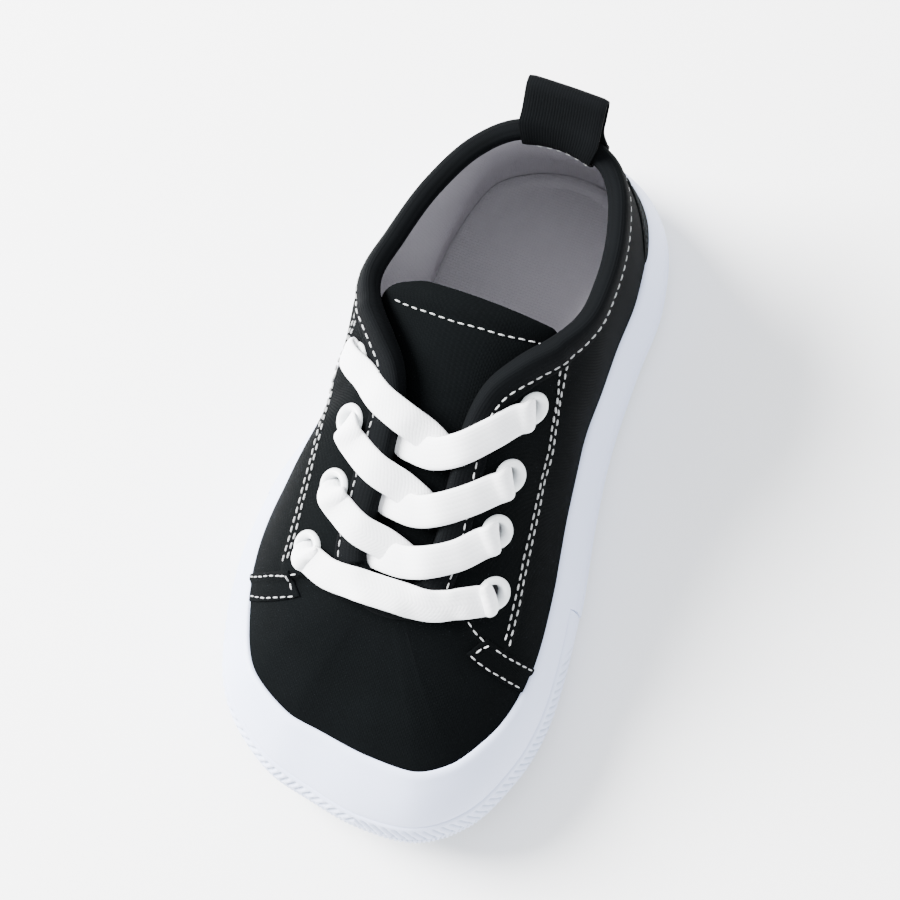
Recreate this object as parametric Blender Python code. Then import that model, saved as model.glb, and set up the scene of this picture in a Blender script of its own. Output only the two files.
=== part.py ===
"""Right shoe of a toddler's low canvas lace-up pair, built as the maker's separate pieces.

Sizes below are in millimetres, and MM turns them into metres. A place on the shoe is given by its turn
(0 at the back of the heel, 0.5 at the end of the toe, going round by the outer side), its run (how far
forward of the heel's end it lies), its x (towards the inner side) and its height.
"""

import math
from bisect import bisect_right
from collections import namedtuple

import bmesh
import bpy
from mathutils import Vector

MM = 0.001

# Where the middle of the whole shoe lies, so that the origin is under the middle of its box.
MIDDLE_RUN = 76.75
MIDDLE_X = 0.3

GAP = 0.3  # between neighbouring pieces
LEAST = 0.05  # added where two curved pieces run side by side

# Small steps along the shoe's surfaces, by which their directions are found.
TURN_STEP = 0.002
NORMAL_TURNS = 0.01  # wide, so that the cloth's normal stays steady where its lines crowd at the throat
S_STEP = 0.02

# Outsole: heights are above the tread, before the toe is bent up.
BAND_HEIGHT = 6.4  # low band of the outsole, from the heel to the toe bumper
FRONT_HEIGHT = 3.0  # outsole under the toe bumper
EDGE_ROUNDING = 0.7
TREAD_INSET = 1.3  # how far the tread's edge lies in from the side
TUCK = 1.1  # how far the sole's side draws in from its nose down to the tread
GROOVE_WIDTH = 2.2
GROOVE_DEPTH = 1.4
GROOVE_PITCH = 7.5
GROOVE_MARGIN = 7.0
GROOVE_START = -1.0  # height below the tread at which a groove's cutter begins
HEEL_GROOVES = (13.0, 5)  # run of the first groove, and how many
BALL_GROOVES = (84.0, 8)
WAIST_START = 44.0
WAIST_END = 78.0
WAIST_HOLLOW = 1.2
SPRING_RUN = 90.0  # where the tread begins to rise to the toe
SPRING_LENGTH = 65.5
SPRING_RISE = 9.5
SPRING_POWER = 1.8

# Cup sole and toe bumper
NOSE_HEIGHT = 8.5  # height at which the sole's side stands furthest out
SHOULDER_POWER = 2.1  # how late the side's upper part draws in to the rim
FLOOR_HEIGHT = 8.8  # floor of the cup
LIP = 1.2  # top edge of the cup's wall
RIDGE_FOOT = 10.2  # a low ridge runs along the cup's side between these heights
RIDGE_LOW = 10.7
RIDGE_HIGH = 12.4
RIDGE_TOP = 12.9
RIDGE_OUT = 0.35
BUMPER_RUN = 96.0  # where the bumper begins
BUMPER_DEPTH = 1.9
BUMPER_FOOT = 1.0
BUMPER_END_TOP = 16.6  # the bumper's upper edge falls from its ends
BUMPER_TOE_TOP = 11.4  # to the toe
BUMPER_GROOVE = (5.2, 5.9, 6.6)  # heights of the groove between its two tiers of ribs
BUMPER_GROOVE_DEPTH = 0.5
RIB_COUNT = 34
RIB_CREST = 0.3
RIB_TROUGH = -0.2
RIB_LEAN = 1.6  # in half pitches
BUMPER_START = 0.0036  # turns from the recess's step to the bumper's end
BUMPER_SHARP = 25  # degrees from which its edges stay sharp
RUNG_SHARES = (0.2, 0.5, 0.8)  # places of the points between the sole's two sides
RUNG_INSET = 2.4
WALL_SHARES = (0.0, 0.4, 0.75, 1.0)  # of the cup's wall above the ridge or the bumper
INSOLE_THICKNESS = 3.0
INSOLE_ROUNDING = 0.9

# Upper
WALL = 1.4
QUARTER_SHARES = (0.12, 0.4, 0.72)  # of the way up from the cup's edge to the main seam
SEAM_STEP = 0.025  # the s over which the eyestay's step rises
LINING_SHARE = 0.5  # a row of the inside's points between the cup's edge and the main seam
CUP_LINING = -0.4  # and one inside the cup
LAYER = 0.6  # step where one cloth lies on another
STAY_LAYER = 0.5  # the eyestays are one more layer
STAY_START = 0.218  # turn at which they begin
VAMP_TURN = 0.347  # the quarters lie on the vamp up to this turn on each side
CUP_HANDLE = 4.5  # reach of the last's curve at the cup's edge, down into the cup
SIDE_HANDLE = 9.0  # and up the shoe's side
FLOOR_HANDLE = 5.0
FLOOR_TURN_IN = 1.3  # how far the last's side draws in at the floor
TAPE = 0.6
BINDING_WIDTH = 5.0  # depth of the binding outside the opening's edge
BINDING_INSIDE = 4.2
BINDING_CREST = 0.6
COUNTER_TURN = 0.0975
COUNTER_HEIGHT = 0.64  # share of the heel's side that the counter covers
COUNTER_FOOT = 0.1
COUNTER_RUN_ON = 0.004  # turns by which its round top runs on past its ends
COUNTER_SHARES = (0.0, 0.25, 0.5, 0.75, 1.0)
PATCH_BEHIND = 0.001  # turns that a side patch covers behind and before the vamp's seam
PATCH_BEFORE = 0.0125
PATCH_FOOT = 0.04
PATCH_TOP = 0.4
PATCH_SHARES = (0.0, 0.33, 0.67, 1.0)
TONGUE_THICKNESS = 2.4
TONGUE_EDGE = 0.35  # share of the thickness left at the tongue's edges
TONGUE_HALF_COLUMNS = 3
TONGUE_RUNS = (120.0, 116.5, 113.0, 108.5, 103.0, 96.0, 88.5, 81.0, 74.0, 68.0, 62.0, 57.5, 54.8, 52.9, 51.1)
THROAT_TOP = 66.0
THROAT_END = 108.5

# Pull loop
LOOP_TURN = 0.031
LOOP_TAPE = 0.9
LOOP_DEPTH = 11.0  # how far its outer leg goes down
LOOP_INSIDE = 4.0
LOOP_LIFT = (1.4, 0.6)  # it climbs onto the binding between these distances below it
LOOP_HALF_COLUMNS = 3

# Lacing
EYELET_FLANGE = 3.55  # radii of an eyelet
EYELET_CROWN = 2.75
EYELET_BARREL = 2.2
EYELET_HOLE = 1.75
EYELET_RISE = 0.9
EYELET_SEAT = 0.45  # over the cloth, which bows under the flange
EYELET_SIDES = 8
BORE = 2.65  # radius of the hole in the upper
BORE_REACH = 4.2
LACE_WIDTH = 6.2
LACE_THICKNESS = 1.5
LACE_EDGE = 1.0  # width of a lace's thin edge
BAR_STATIONS = 16
CROSSING_STATIONS = 11

SoleRow = namedtuple(
    "SoleRow", "place turn outer_x outer_run inner_x inner_run rim top outer_lean inner_lean wall"
)
# rim: how far in from the outline the upper goes into the cup; top: height there; outer_lean, inner_lean:
# how far the upper leans inwards there, in degrees from upright; wall: thickness of the cup's wall near its
# floor.
SOLE_ROWS = [
    SoleRow("heel_end", 0.000, 0.8, 0.0, 0.8, 0.0, 5.0, 23.5, 14, 14, 3.2),
    SoleRow("heel_corner", 0.035, -11.5, 2.6, 12.8, 2.8, 4.5, 23.4, 13, 13, 3.2),
    SoleRow("heel_side", 0.070, -21.4, 10.0, 22.0, 11.0, 4.8, 23.2, 9, 9, 3.1),
    SoleRow("heel_front", 0.110, -26.0, 25.0, 26.9, 26.0, 4.8, 23.0, 0, 3, 3.0),
    SoleRow("waist_rear", 0.155, -27.0, 42.0, 27.3, 43.0, 4.8, 22.8, -8, 0, 3.0),
    SoleRow("waist", 0.200, -28.6, 60.0, 28.3, 60.5, 5.0, 22.6, -25, 2, 3.0),
    SoleRow("waist_front", 0.245, -32.4, 76.0, 31.0, 77.0, 5.4, 22.4, -15, 8, 3.4),
    SoleRow("ball_rear", 0.290, -36.5, 94.0, 34.7, 94.0, 5.8, 22.2, 12, 18, 3.9),
    SoleRow("ball", 0.330, -36.4, 112.0, 37.0, 111.0, 6.0, 22.0, 25, 25, 4.0),
    SoleRow("ball_front", 0.365, -33.0, 128.0, 37.4, 123.0, 6.6, 22.0, 34, 34, 4.0),
    SoleRow("toe_side", 0.400, -26.5, 141.5, 35.4, 134.0, 7.4, 22.2, 44, 44, 4.1),
    SoleRow("toe_corner", 0.435, -14.5, 150.4, 30.2, 145.6, 8.6, 22.5, 52, 52, 4.2),
    SoleRow("toe_front", 0.470, -3.0, 153.2, 20.5, 153.2, 9.3, 22.8, 57, 57, 4.2),
    SoleRow("toe_end", 0.500, 8.5, 154.6, 8.5, 154.6, 9.6, 23.0, 58, 58, 4.2),
]

OpeningRow = namedtuple("OpeningRow", "place turn x run height slope reach")
# slope: how steeply the cloth falls away from the edge, in degrees; reach: how far it keeps that slope.
OPENING_ROWS = [
    OpeningRow("collar_back", 0.000, 0.8, 12.4, 55.0, 74, 9),
    OpeningRow("collar_back_outer", 0.035, -8.6, 14.3, 54.6, 74, 9),
    OpeningRow("collar_corner_outer", 0.070, -15.4, 20.3, 53.6, 74, 9),
    OpeningRow("collar_rear_outer", 0.110, -20.6, 30.7, 52.6, 72, 10),
    OpeningRow("collar_side_outer", 0.155, -23.4, 43.0, 52.6, 67, 12),
    OpeningRow("collar_front_outer", 0.195, -24.3, 53.4, 53.8, 60, 14),
    OpeningRow("flare_top_outer", 0.225, -20.8, 59.8, 55.4, 54, 15),
    OpeningRow("flare_outer", 0.245, -16.2, 64.6, 56.0, 48, 16),
    OpeningRow("flare_foot_outer", 0.262, -12.2, 69.0, 55.6, 37, 15),
    OpeningRow("throat_top_outer", 0.280, -9.6, 74.8, 53.8, 22, 15),
    OpeningRow("throat_mid_outer", 0.300, -8.3, 84.0, 50.2, 14, 15),
    OpeningRow("throat_low_outer", 0.320, -7.5, 95.6, 45.9, 13, 14),
    OpeningRow("throat_foot_outer", 0.338, -6.8, 103.2, 43.1, 15, 12),
    OpeningRow("throat_corner_outer", 0.370, -4.6, 107.2, 42.0, 26, 8),
    OpeningRow("throat_end_outer", 0.430, -1.7, 109.0, 41.7, 36, 8),
    OpeningRow("throat_end", 0.500, 1.0, 109.5, 41.6, 38, 8),
    OpeningRow("throat_end_inner", 0.570, 3.7, 109.0, 41.7, 36, 8),
    OpeningRow("throat_corner_inner", 0.630, 6.2, 107.2, 42.0, 28, 8),
    OpeningRow("throat_foot_inner", 0.662, 7.8, 103.0, 43.2, 20, 10),
    OpeningRow("throat_low_inner", 0.680, 7.7, 95.4, 46.0, 19, 12),
    OpeningRow("throat_mid_inner", 0.700, 6.3, 84.0, 50.2, 20, 12),
    OpeningRow("throat_top_inner", 0.720, 5.8, 74.6, 53.8, 25, 12),
    OpeningRow("flare_foot_inner", 0.738, 7.1, 67.0, 55.9, 36, 11),
    OpeningRow("flare_inner", 0.757, 10.9, 60.6, 56.6, 50, 10),
    OpeningRow("flare_top_inner", 0.780, 15.9, 54.2, 55.9, 61, 10),
    OpeningRow("collar_front_inner", 0.808, 19.3, 47.4, 54.4, 71, 9),
    OpeningRow("collar_side_inner", 0.845, 19.9, 38.2, 53.2, 75, 9),
    OpeningRow("collar_rear_inner", 0.890, 18.2, 27.2, 52.8, 75, 9),
    OpeningRow("collar_corner_inner", 0.930, 14.7, 18.6, 53.6, 75, 9),
    OpeningRow("collar_back_inner", 0.965, 9.8, 14.2, 54.6, 74, 9),
]

SeamRow = namedtuple("SeamRow", "place turn depth")
# How far below the opening's edge the main seam of the upper runs: under the binding along the collar,
# along the outer edge of each eyestay, and round the front of the throat.
SEAM_ROWS = [
    SeamRow("heel", 0.000, 6.4),
    SeamRow("collar_outer", 0.170, 6.4),
    SeamRow("collar_front_outer", 0.208, 6.6),
    SeamRow("stay_top_outer", 0.2225, 8.6),
    SeamRow("stay_bend_outer", 0.2305, 15.0),
    SeamRow("stay_upper_outer", 0.242, 21.4),
    SeamRow("stay_outer", 0.260, 23.8),
    SeamRow("stay_middle_outer", 0.288, 21.2),
    SeamRow("stay_low_outer", 0.318, 18.4),
    SeamRow("stay_foot_outer", 0.344, 19.1),
    SeamRow("vamp_outer", 0.390, 15.0),
    SeamRow("vamp", 0.500, 12.0),
    SeamRow("vamp_inner", 0.610, 15.0),
    SeamRow("stay_foot_inner", 0.664, 22.8),
    SeamRow("stay_low_inner", 0.697, 24.1),
    SeamRow("stay_inner", 0.729, 25.6),
    SeamRow("stay_upper_inner", 0.749, 23.7),
    SeamRow("stay_bend_inner", 0.762, 18.2),
    SeamRow("stay_top_inner", 0.7765, 8.2),
    SeamRow("collar_inner", 0.800, 6.4),
]

TongueRow = namedtuple("TongueRow", "place run x height half_width outer_drop inner_drop")
# outer_drop, inner_drop: how far the tongue's sides hang below its middle.
TONGUE_ROWS = [
    TongueRow("sewn_end", 120.0, 1.6, 33.0, 12.5, 3.6, 3.6),
    TongueRow("under_throat_end", 113.0, 1.3, 35.0, 13.6, 4.4, 4.4),
    TongueRow("throat_end", 108.5, 1.0, 37.2, 14.4, 5.2, 5.2),
    TongueRow("first_row", 103.0, 0.6, 40.2, 15.2, 5.8, 5.8),
    TongueRow("second_row", 92.0, 0.0, 44.8, 15.6, 6.2, 6.2),
    TongueRow("third_row", 81.0, -0.6, 48.8, 15.2, 6.4, 6.4),
    TongueRow("fourth_row", 70.0, -1.5, 52.2, 15.6, 6.3, 6.4),
    TongueRow("above_throat", 62.0, -2.7, 54.8, 17.2, 5.7, 6.2),
    TongueRow("top_shoulder", 56.0, -2.7, 57.0, 18.4, 4.4, 6.0),
    TongueRow("top_corner", 52.9, -1.9, 58.0, 17.0, 3.5, 4.8),
    TongueRow("top_edge", 50.9, -0.4, 58.6, 14.0, 2.2, 3.0),
]

LoopPoint = namedtuple("LoopPoint", "run height spread")
# The loop's inner path above the collar, from its outer leg over the fold to its inner leg, measured from the
# collar's edge; spread: how much of the collar's round the tape still follows there.
LOOP_PATH = [
    LoopPoint(-3.0, 5.0, 0.7),
    LoopPoint(-4.6, 9.0, 0.3),
    LoopPoint(-4.7, 10.7, 0.1),
    LoopPoint(-3.9, 11.4, 0.0),
    LoopPoint(-3.0, 10.8, 0.1),
    LoopPoint(-1.6, 8.4, 0.3),
    LoopPoint(1.6, 4.6, 0.7),
]

EyeletRow = namedtuple("EyeletRow", "place outer_x outer_run inner_x inner_run")
EYELET_ROWS = [
    EyeletRow("1", -17.4, 106.2, 19.8, 101.4),
    EyeletRow("2", -16.0, 93.5, 16.4, 90.5),
    EyeletRow("3", -17.2, 80.9, 15.1, 79.8),
    EyeletRow("4", -20.2, 68.8, 14.6, 66.1),
]

LacePoint = namedtuple("LacePoint", "x run lift")
# The route of each lace's middle line seen from above; lift: height of its middle over the cloth beside the
# throat. A crossing's outer lace comes up beside the inner edge, and the inner lace lies over it.
LACE_ROUTES = {
    "lace_bar_1": [
        [
            LacePoint(-17.4, 106.2, 3.6),
            LacePoint(-15.6, 108.0, 3.6),
            LacePoint(-10.8, 109.4, 3.6),
            LacePoint(-4.0, 110.4, 3.4),
            LacePoint(3.0, 109.9, 3.0),
            LacePoint(9.6, 108.2, 3.3),
            LacePoint(15.0, 105.4, 3.6),
            LacePoint(18.3, 103.3, 3.6),
            LacePoint(19.8, 101.4, 3.6),
        ],
    ],
    "lace_crossing_2": [
        [
            LacePoint(-16.0, 93.5, 3.6),
            LacePoint(-13.2, 96.8, 3.6),
            LacePoint(-7.8, 99.6, 3.7),
            LacePoint(-2.2, 100.9, 2.1),
            LacePoint(2.8, 102.6, -0.4),
        ],
        [
            LacePoint(16.4, 90.5, 3.6),
            LacePoint(14.4, 93.6, 3.6),
            LacePoint(11.0, 97.6, 3.6),
            LacePoint(6.6, 100.9, 4.0),
            LacePoint(2.0, 102.6, 2.8),
            LacePoint(-3.4, 103.1, 0.2),
        ],
    ],
    "lace_crossing_3": [
        [
            LacePoint(-17.2, 80.9, 3.6),
            LacePoint(-14.1, 84.8, 3.6),
            LacePoint(-8.6, 87.9, 3.7),
            LacePoint(-2.8, 89.7, 2.1),
            LacePoint(2.4, 91.8, -0.4),
        ],
        [
            LacePoint(15.1, 79.8, 3.6),
            LacePoint(13.0, 83.3, 3.6),
            LacePoint(9.6, 87.2, 3.6),
            LacePoint(5.6, 90.9, 3.9),
            LacePoint(1.2, 92.9, 2.6),
            LacePoint(-4.4, 93.1, -0.2),
        ],
    ],
    "lace_crossing_4": [
        [
            LacePoint(-20.2, 68.8, 3.6),
            LacePoint(-16.4, 71.8, 3.6),
            LacePoint(-11.8, 75.2, 3.6),
            LacePoint(-6.8, 77.3, 3.5),
            LacePoint(-1.8, 79.0, 1.8),
            LacePoint(2.4, 81.2, -0.4),
        ],
        [
            LacePoint(14.6, 66.1, 3.6),
            LacePoint(12.2, 69.6, 3.6),
            LacePoint(9.2, 74.2, 3.6),
            LacePoint(5.4, 79.0, 3.9),
            LacePoint(0.8, 81.7, 2.6),
            LacePoint(-4.4, 82.0, -0.2),
        ],
    ],
}


# ---------------------------------------------------------------- tables and curves


def curve_between(share, start, end, start_rate, end_rate):
    """A smooth curve from start to end; its rates there are counted over the whole piece."""
    return (
        (1 + 2 * share) * (1 - share) ** 2 * start
        + share * (1 - share) ** 2 * start_rate
        + share * share * (3 - 2 * share) * end
        + share * share * (share - 1) * end_rate
    )


class RoundTable:
    """Rows placed round the shoe by their turn: between them every column follows a smooth closed curve."""

    def __init__(self, rows):
        self.rows = sorted(rows, key=lambda row: row.turn)
        self.turns = [row.turn for row in self.rows]

    def knot(self, index, column):
        lap, place = divmod(index, len(self.rows))
        return self.turns[place] + lap, getattr(self.rows[place], column)

    def at(self, turn, column):
        turn %= 1.0
        after = bisect_right(self.turns, turn)
        (t0, v0), (t1, v1), (t2, v2), (t3, v3) = (
            self.knot(after + k, column) for k in (-2, -1, 0, 1)
        )
        before, across, beyond = t1 - t0, t2 - t1, t3 - t2
        rate_1 = (v1 - v0) / before * across + (v2 - v1) / across * before
        rate_2 = (v2 - v1) / across * beyond + (v3 - v2) / beyond * across
        return curve_between(
            (turn - t1) / across,
            v1,
            v2,
            rate_1 / (before + across) * across,
            rate_2 / (across + beyond) * across,
        )


Side = namedtuple("Side", "turn x run lean rim top wall")


def both_sides(rows):
    """One row for the outer and one for the inner side, from rows that hold both."""
    sides = []
    for row in rows:
        shared = (row.rim, row.top, row.wall)
        sides.append(Side(row.turn, row.outer_x, row.outer_run, row.outer_lean, *shared))
        if 0.0 < row.turn < 0.5:
            sides.append(Side(1.0 - row.turn, row.inner_x, row.inner_run, row.inner_lean, *shared))
    return sides


SOLE = RoundTable(both_sides(SOLE_ROWS))
OPENING = RoundTable(OPENING_ROWS)
SEAM = RoundTable(SEAM_ROWS)


def bezier(points, s):
    a, b, c, d = points
    return (
        a * (1 - s) ** 3
        + b * 3 * s * (1 - s) ** 2
        + c * 3 * s * s * (1 - s)
        + d * s**3
    )


def bezier_slope(points, s):
    a, b, c, d = points
    return (
        (b - a) * 3 * (1 - s) ** 2 + (c - b) * 6 * s * (1 - s) + (d - c) * 3 * s * s
    )


def outward(table, turn):
    """The direction in plan (x, run) that points away from the inside of a table's closed curve."""
    along_x = table.at(turn + TURN_STEP, "x") - table.at(turn - TURN_STEP, "x")
    along_run = table.at(turn + TURN_STEP, "run") - table.at(turn - TURN_STEP, "run")
    return Vector((-along_run, along_x)).normalized()


def world(x, run, height):
    return Vector((x - MIDDLE_X, MIDDLE_RUN - run, height)) * MM


# ---------------------------------------------------------------- sole surfaces


def rise(run):
    """Height of the tread's edge above the floor, and its slope, at a run."""
    forward = max(0.0, (run - SPRING_RUN) / SPRING_LENGTH)
    height = SPRING_RISE * forward**SPRING_POWER
    slope = SPRING_RISE * SPRING_POWER / SPRING_LENGTH * forward ** (SPRING_POWER - 1)
    return height, slope


def sprung(x, run, height):
    """A point of the flat sole after the toe is bent up: what stands on the tread leans back with it."""
    lift, slope = rise(run)
    upright = 1 / math.hypot(1, slope)
    return world(x, run - height * slope * upright, lift + height * upright)


def plan(turn, inset):
    side = outward(SOLE, turn)
    return Vector((SOLE.at(turn, "x"), SOLE.at(turn, "run"))) - side * inset


def sole_point(turn, inset, height):
    x, run = plan(turn, inset)
    return sprung(x, run, height)


def side_inset(turn, height):
    """How far in from the outline the sole's side stands at a height above the tread."""
    if height < NOSE_HEIGHT:
        return TUCK * ((NOSE_HEIGHT - height) / NOSE_HEIGHT) ** 2
    crest = SOLE.at(turn, "rim") - LIP
    climb = (height - NOSE_HEIGHT) / (SOLE.at(turn, "top") - NOSE_HEIGHT)
    return crest * climb**SHOULDER_POWER


def cavity(turn):
    """The last's side inside the cup, from the wall's top to the floor, as (inset, height) handles."""
    rim, top = SOLE.at(turn, "rim"), SOLE.at(turn, "top")
    wall = SOLE.at(turn, "wall")
    lean = math.radians(SOLE.at(turn, "lean"))
    return (
        Vector((rim, top)),
        Vector((rim - CUP_HANDLE * math.sin(lean), top - CUP_HANDLE * math.cos(lean))),
        Vector((wall, FLOOR_HEIGHT + FLOOR_HANDLE)),
        Vector((wall + FLOOR_TURN_IN, FLOOR_HEIGHT + GAP)),
    )


def cavity_point(turn, s, out=0.0, drop=0.0):
    """A point of the last's side, moved out from it into the cup's wall, and down."""
    handles = cavity(turn)
    along = bezier_slope(handles, s).normalized()
    inset, height = bezier(handles, s) + Vector((along.y, -along.x)) * out
    return sole_point(turn, inset, height - drop)


def band_top(turn):
    """Height of the outsole's edge: full at the low band, less under the bumper."""
    return FRONT_HEIGHT if under_bumper(turn) else BAND_HEIGHT


# ---------------------------------------------------------------- upper surface


def upper_handles(turn):
    """The upper's side from the cup's edge to the opening, as four handles in metres."""
    rim, top = SOLE.at(turn, "rim"), SOLE.at(turn, "top")
    lean = math.radians(SOLE.at(turn, "lean"))
    edge = world(*(OPENING.at(turn, column) for column in ("x", "run", "height")))
    slope = math.radians(OPENING.at(turn, "slope"))
    away = outward(OPENING, turn)
    fall = Vector(
        (away.x * math.cos(slope), -away.y * math.cos(slope), -math.sin(slope))
    )
    return (
        sole_point(turn, rim, top),
        sole_point(turn, rim + SIDE_HANDLE * math.sin(lean), top + SIDE_HANDLE * math.cos(lean)),
        edge + fall * OPENING.at(turn, "reach") * MM,
        edge,
    )


def upper_side(turn, s):
    """s from 0 at the cup's edge to 1 at the opening, and from 0 to -1 inside the cup down to its floor."""
    if s >= 0:
        return bezier(upper_handles(turn), s)
    return cavity_point(turn, -s)


def upper_point(turn, s, out=0.0):
    """A point of the upper's outer surface, moved out by some millimetres along its normal."""
    point = upper_side(turn, s)
    if out == 0.0:
        return point
    low = max(-1.0, s - S_STEP) if s < 0 else max(0.0, s - S_STEP)
    high = min(0.0, s + S_STEP) if s < 0 else min(1.0, s + S_STEP)
    around = upper_side(turn + NORMAL_TURNS, s) - upper_side(turn - NORMAL_TURNS, s)
    up = upper_side(turn, high) - upper_side(turn, low)
    return point + around.cross(up).normalized() * out * MM


def below_edge(turn, depth):
    """The s at a depth in millimetres below the opening's edge, measured down the cloth."""
    handles = upper_handles(turn)
    steps = 40
    left = depth * MM
    last = handles[3]
    for k in range(1, steps + 1):
        point = bezier(handles, 1 - k / steps)
        length = (point - last).length
        if length >= left:
            return 1 - (k - 1 + left / length) / steps
        left -= length
        last = point
    return 0.0


def on_quarter(turn):
    return turn < VAMP_TURN or turn > 1 - VAMP_TURN


def on_stay(turn):
    return on_quarter(turn) and STAY_START < turn < 1 - STAY_START


def quarter_layer(turn):
    return LAYER if on_quarter(turn) else 0.0


def stay_layer(turn):
    """Thickness on the upper's plain surface beside the opening."""
    return quarter_layer(turn) + (STAY_LAYER if on_stay(turn) else 0.0)


def turn_at_run(table, run, low, high):
    """The turn, between two turns of one side, at which a table's curve passes a run."""
    rising = table.at(low, "run") < table.at(high, "run")
    for _ in range(40):
        middle = (low + high) / 2
        if (table.at(middle, "run") < run) == rising:
            low = middle
        else:
            high = middle
    return low


# Turns between which each eyestay and each of the throat's edges is looked for, outer side first.
STAY_SIDES = ((0.26, 0.37), (0.63, 0.74))
THROAT_SIDES = ((0.245, 0.45), (0.55, 0.757))


def place_seen_at(x, run):
    """The turn and s at which the upper's outer surface is seen from above at an x and a run."""
    turn = turn_at_run(OPENING, run, *STAY_SIDES[x > 0])
    s = 0.7
    goal = world(x, run, 0.0).xy
    for _ in range(12):
        here = upper_side(turn, s).xy
        by_turn = (upper_side(turn + TURN_STEP, s).xy - here) / TURN_STEP
        by_s = (here - upper_side(turn, s - TURN_STEP).xy) / TURN_STEP
        miss = goal - here
        scale = by_turn.x * by_s.y - by_turn.y * by_s.x
        turn += (miss.x * by_s.y - miss.y * by_s.x) / scale
        s += (by_turn.x * miss.y - by_turn.y * miss.x) / scale
        s = min(max(s, 0.05), 1.0)
    return turn, s


def deck_height(x, run):
    """Height of the cloth the laces lie over: the upper, and a bridge across the throat between its edges."""
    across = min(max(run, THROAT_TOP), THROAT_END - 1.0)
    edges = []
    for ends in THROAT_SIDES:
        turn = turn_at_run(OPENING, across, *ends)
        edges.append((OPENING.at(turn, "x"), OPENING.at(turn, "height")))
    (outer_x, outer_height), (inner_x, inner_height) = edges
    if outer_x < x < inner_x:
        share = (x - outer_x) / (inner_x - outer_x)
        return outer_height + (inner_height - outer_height) * share
    return upper_side(*place_seen_at(x, run)).z / MM


def deck_frame(x, run):
    """The deck's point and its upward direction."""
    step = 1.5
    height = deck_height(x, run)
    by_x = (deck_height(x + step, run) - deck_height(x - step, run)) / (2 * step)
    by_run = (deck_height(x, run + step) - deck_height(x, run - step)) / (2 * step)
    return world(x, run, height), Vector((-by_x, by_run, 1.0)).normalized()


# ---------------------------------------------------------------- places round the shoe


SOLE_SIDES = ((0.01, 0.49), (0.99, 0.51))  # turns from heel to toe along the outer and the inner side
# The bumper ends at the same turn on both sides, so that the sole's ladders of faces stay square.
BUMPER_ENDS = [turn_at_run(SOLE, BUMPER_RUN, *sides) for sides in SOLE_SIDES]
BUMPER_TURN = (BUMPER_ENDS[0] + 1 - BUMPER_ENDS[1]) / 2


def under_bumper(turn):
    return BUMPER_TURN < turn < 1 - BUMPER_TURN


STEP_PAIR = 0.0012  # half the turns between the two columns of a step
STEP_CLEARANCE = 0.004  # turns that an even column keeps from a step
FLARE_TURNS = (0.19, 0.3)  # where the collar bends into the throat


def even_turns(count, steps, dense=(0.0, 0.0)):
    """Turns spread evenly over half the way round, with a close pair at each step, mirrored to the other.

    Between the two turns of dense they lie twice as close.
    """
    half = {k / count for k in range(count // 2 + 1)}
    halfway = {(k + 0.5) / count for k in range(count // 2)}
    half |= {turn for turn in halfway if dense[0] < turn < dense[1]}
    for place in steps:
        half = {turn for turn in half if abs(turn - place) > STEP_CLEARANCE}
        half |= {place - STEP_PAIR, place + STEP_PAIR}
    half = sorted(half)
    return half + [1 - turn for turn in reversed(half[1:-1])]


CUP_SHIFT = 0.001  # turns by which the cup's step stands clear of the outsole's
SOLE_TURNS = even_turns(56, [BUMPER_TURN])
CUP_TURNS = even_turns(56, [BUMPER_TURN + CUP_SHIFT])
INSOLE_TURNS = even_turns(44, [])
UPPER_TURNS = even_turns(56, [VAMP_TURN], FLARE_TURNS)
CAVITY_ROWS = (0.0, 0.25, 0.6, 1.0)  # shared by the cup and the upper in it, so that both stay parallel


def turns_between(low, high):
    """The upper's own turns from low to high, going on past the heel's end below 0."""
    centred = [turn - 1 if turn > 0.5 else turn for turn in UPPER_TURNS]
    return sorted(turn for turn in centred if low <= turn <= high)


# ---------------------------------------------------------------- mesh helpers


def add_ring(mesh, points):
    return [mesh.verts.new(point) for point in points]


def join_rings(mesh, ring_a, ring_b):
    """A closed band of faces between two rings of the same count."""
    count = len(ring_a)
    for k in range(count):
        after = (k + 1) % count
        mesh.faces.new((ring_a[k], ring_a[after], ring_b[after], ring_b[k]))


def join_rows(mesh, row_a, row_b):
    """An open band of faces between two rows of the same count."""
    for k in range(len(row_a) - 1):
        mesh.faces.new((row_a[k], row_a[k + 1], row_b[k + 1], row_b[k]))


def skin_rings(mesh, sections, closed=False):
    """Bands between rings one after another, with end faces unless the last joins the first."""
    rings = [add_ring(mesh, section) for section in sections]
    for ring_a, ring_b in zip(rings, rings[1:]):
        join_rings(mesh, ring_a, ring_b)
    if closed:
        join_rings(mesh, rings[-1], rings[0])
    else:
        mesh.faces.new(rings[0])
        mesh.faces.new(rings[-1])


def ladder(mesh, ring, rungs):
    """Fills a ring with rungs from its outer to its inner half; rungs(k) gives the points between."""
    half = len(ring) // 2
    rows = [[ring[0]]]
    for k in range(1, half):
        middle = [mesh.verts.new(point) for point in rungs(k)]
        rows.append([ring[k]] + middle + [ring[-k]])
    rows.append([ring[half]])
    for row_a, row_b in zip(rows, rows[1:]):
        if len(row_a) == 1:
            for k in range(len(row_b) - 1):
                mesh.faces.new((row_a[0], row_b[k], row_b[k + 1]))
        elif len(row_b) == 1:
            for k in range(len(row_a) - 1):
                mesh.faces.new((row_a[k], row_b[0], row_a[k + 1]))
        else:
            join_rows(mesh, row_a, row_b)


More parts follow.
